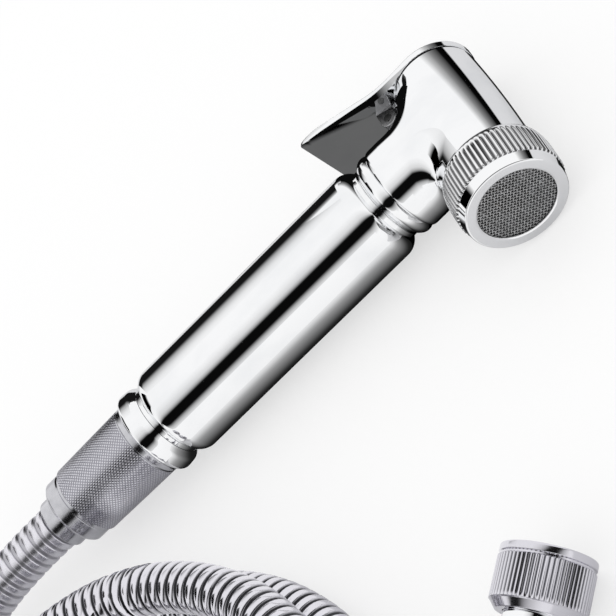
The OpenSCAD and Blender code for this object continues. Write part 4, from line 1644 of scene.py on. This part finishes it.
@dataclass
class Head(Maker):
    """The cast head: barrel and neck melted into each other, bored, with a hinge knuckle.

    Attributes:
        rear: Distance from the crossing back to the barrel's rear rim.
        front: Distance forward to the barrel's shoulder.
        spigot_end: Distance forward to the spigot's end.
        neck_end: Distance down to the neck's end face.
        barrel_r: Widest radius of the barrel.
        waist: Loss of radius with the square of the distance from the widest place.
        widest: Where the barrel is widest.
        neck_r: Radius of the neck.
        neck_swell: Added radius at the neck's foot.
        crown: How fast the neck's end goes under past the barrel's axis.
        fillet: Reach of the melting at front and rear.
        fillet_run: Distance forward and back over which the reach changes.
        voxel: Voxel size of the first skin.
    """

    rear: float = 19.4
    front: float = 17.9
    spigot_end: float = 29.0
    neck_end: float = 24.8
    barrel_r: float = 13.15
    waist: float = 0.0014
    widest: float = 9.0
    neck_r: float = 13.1
    neck_swell: float = 0.3
    crown: float = 0.35
    fillet: Pair = (6.0, 9.0)
    fillet_run: float = 12.0
    voxel: float = 0.4

    def barrel_radius(self, forward: np.ndarray) -> np.ndarray:
        """Radius of the barrel at a place along it."""
        return self.barrel_r - self.waist * (forward - self.widest) ** 2

    def neck_radius(self, down: np.ndarray) -> np.ndarray:
        """Radius of the neck at a place along it.

        Args:
            down: Distance down from the crossing.

        Returns:
            The radius.
        """
        swell_from, swell_run = 8, 12
        roll_from, roll_run, roll_depth = self.neck_end - 1.2, 1.3, 0.75
        swell = self.neck_swell * np.clip((down - swell_from) / swell_run, 0, 1) ** 2
        roll = np.clip((down - roll_from) / roll_run, 0, 0.98)
        return self.neck_r + swell - roll_depth * (1 - np.sqrt(1 - roll**2))

    def distance(self, p: np.ndarray) -> np.ndarray:
        """Signed distance from points to the melted outside.

        Args:
            p: Points from the crossing, in the frame's axes.

        Returns:
            The distances, which are negative inside.
        """
        x, y, z = p.T
        forward = -y
        across = np.hypot(x, z) + 1e-9
        round_neck = np.hypot(y, z) + 1e-9
        barrel = across - self.barrel_radius(forward)
        neck = round_neck - self.neck_radius(-x) + self.crown * np.clip(x, 0, None) ** 2
        likeness = z * z / (across * round_neck)
        share = np.clip((forward / self.fillet_run + 1) / 2, 0, 1)
        reach = self.fillet[1] + (self.fillet[0] - self.fillet[1]) * share
        reach = reach * np.sqrt(np.clip(1 - likeness**2, 0.0004, 1))
        mix = np.clip(0.5 + 0.5 * (neck - barrel) / reach, 0, 1)
        return neck * (1 - mix) + barrel * mix - reach * mix * (1 - mix)

    def slope(self, p: np.ndarray) -> np.ndarray:
        """Gradient of the distance at points.

        Args:
            p: Points from the crossing, in the frame's axes.

        Returns:
            The gradients.
        """
        step = 0.01
        parts = []
        for k in range(3):
            shift = np.zeros(3)
            shift[k] = step
            parts.append((self.distance(p + shift) - self.distance(p - shift)) / (2 * step))
        return np.stack(parts, axis=1)

    @staticmethod
    def rod(radius: float, length: float, place: Matrix) -> BMesh:
        """A plain rod with closed ends.

        Args:
            radius: Its radius.
            length: Its length.
            place: Its placing.

        Returns:
            The rod.
        """
        bm = bmesh.new()
        size = {"segments": 96, "radius1": radius, "radius2": radius, "depth": length}
        bmesh.ops.create_cone(bm, cap_ends=True, matrix=place, **size)
        return bm

    def rough_skin(self) -> Mesh:
        """Remesh two crossing cylinders, a little longer than the head, into one skin.

        Returns:
            The skin.
        """
        spare = 3.0
        length = self.rear + self.front + 2 * spare
        place = Matrix.Translation((0, (self.rear - self.front) / 2, 0))
        barrel = self.rod(self.barrel_r, length, place @ Matrix.Rotation(math.pi / 2, 4, "X"))
        length = self.neck_end + spare
        place = Matrix.Translation((-length / 2, 0, 0))
        neck = self.rod(self.neck_r, length, place @ Matrix.Rotation(math.pi / 2, 4, "Y"))
        both = merged([barrel, neck])
        mesh = bpy.data.meshes.new("rough_head")
        both.to_mesh(mesh)
        both.free()
        rough = link("rough_head", mesh)
        remesh = rough.modifiers.new("Skin", "REMESH")
        remesh.mode = "VOXEL"
        remesh.voxel_size = self.voxel
        remesh.adaptivity = 0
        graph = bpy.context.evaluated_depsgraph_get()
        skin = bpy.data.meshes.new_from_object(rough.evaluated_get(graph))
        bpy.data.objects.remove(rough)
        return skin

    def skin(self) -> BMesh:
        """The melted outside, open at rear, front and foot.

        Returns:
            The skin.
        """
        mesh = self.rough_skin()
        p = vertex_places(mesh)
        for _ in range(12):
            slope = self.slope(p)
            p -= slope * (self.distance(p) / (slope**2).sum(1))[:, None]
        mesh.vertices.foreach_set("co", p.astype(np.float32).ravel())
        bm = bmesh.new()
        bm.from_mesh(mesh)
        bpy.data.meshes.remove(mesh)
        planes = (
            ((0, self.rear - 0.3, 0), (0, 1, 0)),
            ((0, -self.front + 0.2, 0), (0, -1, 0)),
            ((-self.neck_end + 0.05, 0, 0), (-1, 0, 0)),
        )
        for point, normal in planes:
            bisect(bm, point, normal, clear=True)
        return bm

    def bores(self) -> list[BMesh]:
        """The inside of barrel and neck, with the rims that meet the skin.

        Returns:
            The two bores.
        """
        rear_r = float(self.barrel_radius(np.array(-self.rear)))
        front_r = float(self.barrel_radius(np.array(self.front)))
        along = [
            (-self.rear + 0.29, rear_r, 0),
            (-self.rear, rear_r - 0.25, 0.1),
            (-self.rear, 9.2, 0.2),
            (-13.5, 9.2, 0),
            (-13.5, 8.02, 0),
            (-8.5, 8.02, 0),
            (-8.5, 7.02, 0),
            (9.5, 7.02, 0),
            (9.5, 5, 0),
            (14, 5, 0),
            (14, 10.8, 0),
            (self.spigot_end, 10.8, 0.1),
            (self.spigot_end, 12.6, 0.2),
            (self.front, 12.6, 0),
            (self.front, front_r - 0.15, 0.1),
            (self.front - 0.19, front_r, 0),
        ]
        barrel = spun(rounded(along, closed=False), 128, closed=False)
        turn(barrel, 90, "X")
        foot_r = float(self.neck_radius(np.array(self.neck_end)))
        down = [
            (self.neck_end - 0.04, foot_r, 0),
            (self.neck_end, foot_r - 0.1, 0),
            (self.neck_end, 6.56, 0.1),
            (13.2, 6.56, 0),
            (13.2, 4, 0),
            (7.5, 4, 0),
            (7.5, 0, 0),
        ]
        neck = spun(rounded(down, closed=False), 128, closed=False)
        turn(neck, -90, "Y")
        return [barrel, neck]

    def knuckle(self) -> BMesh:
        """The hinge knuckle under the barrel's rear.

        Returns:
            The closed solid.
        """
        top, front, width = -10.5, -10.0, 7.2
        outline = Hinge.round_end(90)
        outline += [(top, -Hinge.BACK - Hinge.RADIUS), (top, front), (-Hinge.DROP, front)]
        bm = prism(outline, -width / 2, width / 2, 0.3)
        turn(bm, 180, "X")
        return bm

    def build(self) -> None:
        """Build the head."""
        whole = merged([self.skin(), *self.bores()])
        self.close_rims(whole)
        whole = merged([whole, self.knuckle()])
        bmesh.ops.recalc_face_normals(whole, faces=whole.faces)
        place = Matrix.Translation(self.datum.crossing) @ Matrix.Scale(MM, 4)
        head = settle(whole, "head_casting", place, sharp=35, even=False)
        self.true_normals(head)
        dress(head, self.wardrobe.chrome, Body.HANDSET, Slot.CHROME, "head_body")

    def close_rims(self, bm: BMesh) -> None:
        """Bridge the skin's open rims to the bores' rims.

        Args:
            bm: Skin and bores in one mesh.
        """
        rims: tuple[Callable[[Vector], bool], ...] = (
            lambda v: v.y > self.rear - 0.35,
            lambda v: v.y < -self.front + 0.35,
            lambda v: v.x < -self.neck_end + 0.15,
        )
        for near in rims:
            edges = [e for e in bm.edges if e.is_boundary and all(near(v.co) for v in e.verts)]
            bmesh.ops.bridge_loops(bm, edges=edges)

    def true_normals(self, head: Object) -> None:
        """Give the melted skin the exact normals of its formula.

        Args:
            head: The head, in its place.
        """
        mesh = head.data
        p = (vertex_places(mesh) - np.array(self.datum.crossing)) / MM
        on_skin = np.abs(self.distance(p)) < 0.004
        inside = (p[:, 1] < self.rear - 0.25) & (p[:, 1] > -self.front + 0.15)
        on_skin &= inside & (p[:, 0] > -self.neck_end + 0.02)
        slope = self.slope(p)
        slope /= np.linalg.norm(slope, axis=1)[:, None]
        corners = np.empty(len(mesh.loops), np.int32)
        mesh.loops.foreach_get("vertex_index", corners)
        normals = np.where(on_skin[corners][:, None], slope[corners], 0.0)
        mesh.normals_split_custom_set(normals.tolist())


# ---- spray face ----


@dataclass
class SprayFace(Maker):
    """Fluted ring and woven mesh, measured along the barrel.

    Attributes:
        ring_r: Radius of the flutes' crests.
        flutes: Number of flutes.
        flute_depth: Depth of a flute.
        rear: Where the ring starts.
        rear_r: Its radius there.
        flute_from: Where the flutes start.
        crest_from: Where its rear reaches the crests' radius.
        flute_to: Where the flutes end.
        face: Where the ring's face lies.
        band_r: Radius of the smooth band at its rear and front.
        show_r: Radius of the opening that shows the mesh.
        wire_r: Radius of a wire.
        wire_pitch: Distance from wire to wire.
        mesh_at: Where the woven mesh lies.
        weave_turn: Turn of the weave round the barrel.
    """

    ring_r: float = 15.5
    flutes: int = 66
    flute_depth: float = 0.45
    rear: float = 18.1
    rear_r: float = 13.15
    flute_from: float = 21.0
    crest_from: float = 25.0
    flute_to: float = 30.4
    face: float = 34.15
    band_r: Pair = (15.1, 14.5)
    show_r: float = 11.25
    wire_r: float = 0.19
    wire_pitch: float = 0.9
    mesh_at: float = 33.1
    weave_turn: float = math.radians(48)

    def ring(self) -> None:
        """Build the retaining ring."""
        steps, start, end = 16, 1.6, 2.4
        shares = [k / steps for k in range(steps + 1)]
        length = self.crest_from - self.rear
        swell = self.ring_r - self.rear_r
        rear = [
            (self.rear + length * q**start, self.rear_r + swell * (1 - (1 - q) ** end)) for q in shares
        ]
        front = rounded(
            [
                (self.crest_from + 0.6, self.ring_r, 0),
                (self.flute_to - 0.4, self.ring_r, 0),
                (self.flute_to - 0.05, self.ring_r - 0.45, 0),
                (self.flute_to + 0.05, self.band_r[0] - 0.45, 0),
                (self.flute_to + 0.3, self.band_r[0] - 0.45, 0),
                (self.flute_to + 0.42, self.band_r[0], 0.12),
                (self.face, self.band_r[1], 0.55),
                (self.face, self.show_r + 0.5, 0.1),
                (self.face - 0.25, self.show_r, 0.1),
                (self.face - 0.6, self.show_r, 0),
                (self.face - 0.6, 12.65, 0),
                (self.rear, 12.65, 0),
            ],
            closed=False,
        )
        bm = spun([*rear, *front], self.flutes * 8)
        flute(bm, self.flute_from - 0.6, self.flute_to, self.rear_r, self.flute_depth, self.flutes)
        ring = settle(bm, "fluted_ring", self.datum.barrel(), sharp=50)
        dress(ring, self.wardrobe.fluted, Body.RING, Slot.CHROME, "retaining_ring")

    def mesh(self) -> None:
        """Weave the mesh."""
        reach = 12.0
        curve = bpy.data.curves.new("woven_mesh", "CURVE")
        curve.dimensions = "3D"
        curve.bevel_depth = self.wire_r * MM
        curve.bevel_resolution = 1
        curve.use_fill_caps = True
        place = self.datum.barrel()
        half = self.wire_pitch / 2
        count = int(reach / self.wire_pitch)
        for across in (False, True):
            for k in range(-count, count + 1):
                offset = k * self.wire_pitch
                ends = int(math.sqrt(max(reach**2 - offset**2, 0)) / half)
                if ends < 2:
                    continue
                spline = curve.splines.new("POLY")
                spline.points.add(2 * ends)
                for point, j in zip(spline.points, range(-ends, ends + 1)):
                    wave = math.cos(math.pi * (j * half / self.wire_pitch + k)) * self.wire_r
                    along = j * half
                    spot = Vector((offset, along) if across else (along, offset))
                    spot.rotate(Matrix.Rotation(self.weave_turn, 2))
                    lift = self.mesh_at + (-wave if across else wave)
                    point.co = (*(place @ Vector((*spot, lift))), 1)
        wires = link("woven_mesh", curve)
        graph = bpy.context.evaluated_depsgraph_get()
        woven = bpy.data.meshes.new_from_object(wires.evaluated_get(graph))
        bpy.data.objects.remove(wires)
        woven.name = "woven_mesh"
        bm = bmesh.new()
        bm.from_mesh(woven)
        caps = [vert for vert in bm.verts if vert.is_boundary]
        bmesh.ops.remove_doubles(bm, verts=caps, dist=WELD * MM)
        bmesh.ops.recalc_face_normals(bm, faces=bm.faces)
        bm.to_mesh(woven)
        bm.free()
        woven.shade_smooth()
        dress(link("woven_mesh", woven), self.wardrobe.wire, Body.HANDSET, Slot.MESH, "spray_mesh")

    def build(self) -> None:
        """Build ring and mesh."""
        self.ring()
        self.mesh()


# ---- lever ----


@dataclass
class Lever(Maker):
    """The rear lever: an arched plate that bends into a paddle, with ears and lugs.

    Attributes:
        plate_in: Distance back to the plate's inner face.
        plate_t: Thickness of the plate.
        paddle_t: Thickness of the paddle.
        half_w: Half width of the plate.
        tip_half: Half width of the tip.
        corner: Rounding of the tip's corners.
        bend_from: Where the bend starts, down from the barrel's axis.
        bend_r: Radius of the bend on its outer side.
        bend: Angle of the bend, in radians.
        tip_at: Length down to the tip along the outer side.
        rim: Rounding of the outer rims.
        chamfer: Width of the inner rims' chamfer.
        chamfer_share: Share of the thickness that the chamfer takes.
        chamfer_runs: Lengths over which it grows at the top and fades at the tip.
        roll: Share of the thickness by which the outer side rolls in at the tip.
        roll_length: Length over which it rolls in.
        roll_power: Power of its curve.
    """

    plate_in: float = 19.7
    plate_t: float = 2.1
    paddle_t: float = 2.7
    half_w: float = 12.3
    tip_half: float = 11.2
    corner: float = 1.1
    bend_from: float = 6.85
    bend_r: float = 29.0
    bend: float = math.radians(19)
    tip_at: float = 39.9
    rim: float = 0.4
    chamfer: float = 1.42
    chamfer_share: float = 0.4
    chamfer_runs: Pair = (8.0, 14.0)
    roll: float = 0.8
    roll_length: float = 8.0
    roll_power: float = 2.2

    def bent(self, down: float, across: float, inward: float) -> Vector:
        """Where a point of the flat lever goes when the lever is bent.

        Args:
            down: Length down the outer side.
            across: Distance from the middle.
            inward: Share of the thickness, 0 on the outer side.

        Returns:
            The point along (up the handle, across, towards the spray face).
        """
        plate_out = self.plate_in + self.plate_t
        arc = self.bend_r * self.bend
        turn = min(max((down - self.bend_from) / arc, 0), 1) * self.bend
        rest = down - self.bend_from - arc
        drop = min(down, self.bend_from) + self.bend_r * math.sin(turn)
        back = plate_out + self.bend_r * (1 - math.cos(turn))
        if rest > 0:
            drop += rest * math.cos(self.bend)
            back += rest * math.sin(self.bend)
        thick = self.plate_t + (self.paddle_t - self.plate_t) * turn / self.bend
        roll = self.roll * max(0, 1 - (self.tip_at - down) / self.roll_length) ** self.roll_power
        depth = thick * (inward + (1 - inward) * roll)
        return Vector((-(drop + depth * math.sin(turn)), across, -(back - depth * math.cos(turn))))

    def plate(self) -> BMesh:
        """The arched plate and its paddle.

        Returns:
            The closed solid.
        """
        arch = [
            (self.half_w * math.cos(a), self.half_w * math.sin(a))
            for a in (math.radians(-90 + 7.5 * k) for k in range(25))
        ]
        foot = rounded(
            [
                (0, self.half_w, 0),
                (-self.tip_at, self.tip_half, self.corner),
                (-self.tip_at, -self.tip_half, self.corner),
                (0, -self.half_w, 0),
            ],
            closed=False,
        )
        bm = prism([*arch, *foot[1:-1]], 0, 1, 0)
        arc = self.bend_r * self.bend
        cuts = [self.bend_from + arc * k / 14 for k in range(15)]
        cuts += [self.tip_at - self.roll_length * (1 - k / 10) for k in range(9)]
        for cut in cuts:
            bisect(bm, (-cut, 0, 0), (1, 0, 0))
        side_end = 1 - self.chamfer_share
        bisect(bm, (0, 0, side_end), (0, 0, 1))
        outer = {vert for vert in bm.verts if vert.co.z < side_end / 2}
        tip = self.tip_at - self.corner
        for vert in bm.verts:
            down, across, inward = -vert.co.x, vert.co.y, vert.co.z
            share = min(1.0, max(0.0, down / self.chamfer_runs[0]))
            share *= min(1.0, max(0.0, (tip - down) / self.chamfer_runs[1]))
            if inward > (1 + side_end) / 2:
                across *= 1 - self.chamfer * share / self.half_w
            elif vert not in outer:
                inward = 1 - self.chamfer_share * share
            vert.co = self.bent(down, across, inward)
        bmesh.ops.remove_doubles(bm, verts=bm.verts, dist=WELD)
        bmesh.ops.recalc_face_normals(bm, faces=bm.faces)
        outer = {vert for vert in outer if vert.is_valid}
        rims = [e for e in bm.edges if outer.issuperset(e.verts) and e.calc_face_angle() > math.radians(60)]
        bevel(bm, rims, self.rim, 5)
        return bm

    def ears(self) -> list[BMesh]:
        """Ears of the hinge and lugs of the stem's pin.

        Returns:
            The closed solids.
        """
        ear_at, ear_half, ear_foot = 4.9, 1.15, -21.4
        lug_at, lug_half, lug_foot, lug_end, lug_side = 3.15, 1.0, -20.2, -14.9, 2.4
        ear = Hinge.round_end(0)
        ear += [(-Hinge.DROP - Hinge.RADIUS, ear_foot), (-Hinge.DROP + Hinge.RADIUS, ear_foot)]
        lug = [(-lug_side, lug_foot), (lug_side, lug_foot), (lug_side, lug_end), (-lug_side, lug_end)]
        parts = []
        for side in (-1, 1):
            parts.append(self.standing(ear, side * ear_at - ear_half, side * ear_at + ear_half))
            parts.append(self.standing(lug, side * lug_at - lug_half, side * lug_at + lug_half))
        return parts

    @staticmethod
    def standing(outline: Sequence[Pair], low: float, high: float) -> BMesh:
        """A flat lug whose outline lies in the plane of handle and barrel.

        Args:
            outline: Points as (up the handle, towards the spray face).
            low: Lowest place across.
            high: Highest place across.

        Returns:
            The lug.
        """
        bm = prism(outline, low, high, 0.25)
        swap = Matrix(((1, 0, 0, 0), (0, 0, 1, 0), (0, 1, 0, 0), (0, 0, 0, 1)))
        bmesh.ops.transform(bm, matrix=swap, verts=bm.verts)
        bmesh.ops.recalc_face_normals(bm, faces=bm.faces)
        return bm

    def build(self) -> None:
        """Build the lever."""
        ears = self.ears()
        # Ears and lugs take the second finish, the dark grey painted shade.
        for ear in ears:
            for face in ear.faces:
                face.material_index = 1
        bm = merged([self.plate(), *ears])
        lever = settle(bm, "thumb_lever", self.datum.barrel(), sharp=30)
        dress(lever, self.wardrobe.chrome, Body.LEVER, Slot.CHROME, "lever")
        lever.data.materials.append(self.wardrobe.lug)


# ---- inner pieces ----


@dataclass
class ReturnSpring(Maker):
    """The valve's return spring, measured back along the barrel.

    Attributes:
        fixed_at: Distance back to the end that rests on the gland nut.
        free_at: Distance back to the end that rests on the disc.
        wire_r: Radius of the wire.
        coil_r: Radius of the coil, to the wire's middle.
        turns: Number of turns.
        travel: How far the disc pushes the free end back; not used.
    """

    fixed_at: float = 8.0
    free_at: float = -1.35
    wire_r: float = 0.45
    coil_r: float = 4.4
    turns: int = 5
    travel: float = 3.4

    def build(self) -> None:
        """Build the spring."""
        bm = bmesh.new()
        steps = 28
        length = self.fixed_at - self.free_at
        place = Matrix.Translation((self.coil_r, 0, -self.fixed_at)) @ Matrix.Rotation(math.pi / 2, 4, "X")
        ring = bmesh.ops.create_circle(bm, cap_ends=True, segments=10, radius=self.wire_r, matrix=place)
        wire = [*ring["verts"], *bm.edges, *bm.faces]
        rise = length / self.turns / steps
        spin(bm, wire, math.tau * self.turns, self.turns * steps, rise)
        bmesh.ops.recalc_face_normals(bm, faces=bm.faces)
        spring = settle(bm, "return_spring", self.datum.barrel(), even=False)
        dress(spring, self.wardrobe.steel, Body.HANDSET, Slot.STEEL, "valve_spring")
        rear = self.datum.point(0, self.fixed_at + self.wire_r, 0)
        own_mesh(spring)


@dataclass
class InnerPieces(Maker):
    """Pieces that keep their CAD shape and only get a finish.

    Attributes:
        nodes: The frame's objects by name.
    """

    nodes: dict[str, Object] = field(default_factory=dict)

    def build(self) -> None:
        """Dress every inner piece."""
        finishes = {
            self.wardrobe.steel: ("washer_screw",),
            self.wardrobe.pin: ("hinge_pin", "stem_pin"),
            self.wardrobe.dark_steel: ("mesh_support",),
            self.wardrobe.brass: (
                "valve_stem",
                "valve_disc",
                "valve_seat",
                "gland_nut",
                "hose_nipple",
                "end_nipple",
            ),
            self.wardrobe.rubber: (
                "upper_o_ring",
                "lower_o_ring",
                "stem_o_ring",
                "face_gasket",
                "valve_washer",
                "hose_washer",
                "end_washer",
            ),
            self.wardrobe.tube: ("water_tube",),
        }
        for finish, names in finishes.items():
            for name in names:
                data = self.nodes[name].data
                data.materials.clear()
                data.materials.append(finish)
                LOG.info("%s is dressed as %s", name, finish.name)


def main(frame: dict) -> None:
    """Build everything round the frame, in order.
    """
    logging.basicConfig(level=logging.INFO, format="%(name)s: %(message)s")
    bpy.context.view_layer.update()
    datum = Datum.from_frame(frame["record"])
    studio = Studio(datum)
    studio.camera()
    wardrobe = Wardrobe()
    for maker in (EndFitting, Hose, Head, Handle, HoseNut, SprayFace, Lever, ReturnSpring):
        maker(datum, wardrobe).build()
    InnerPieces(datum, wardrobe, frame["nodes"]).build()
    studio.build()


if __name__ == "__main__":
    main(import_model())
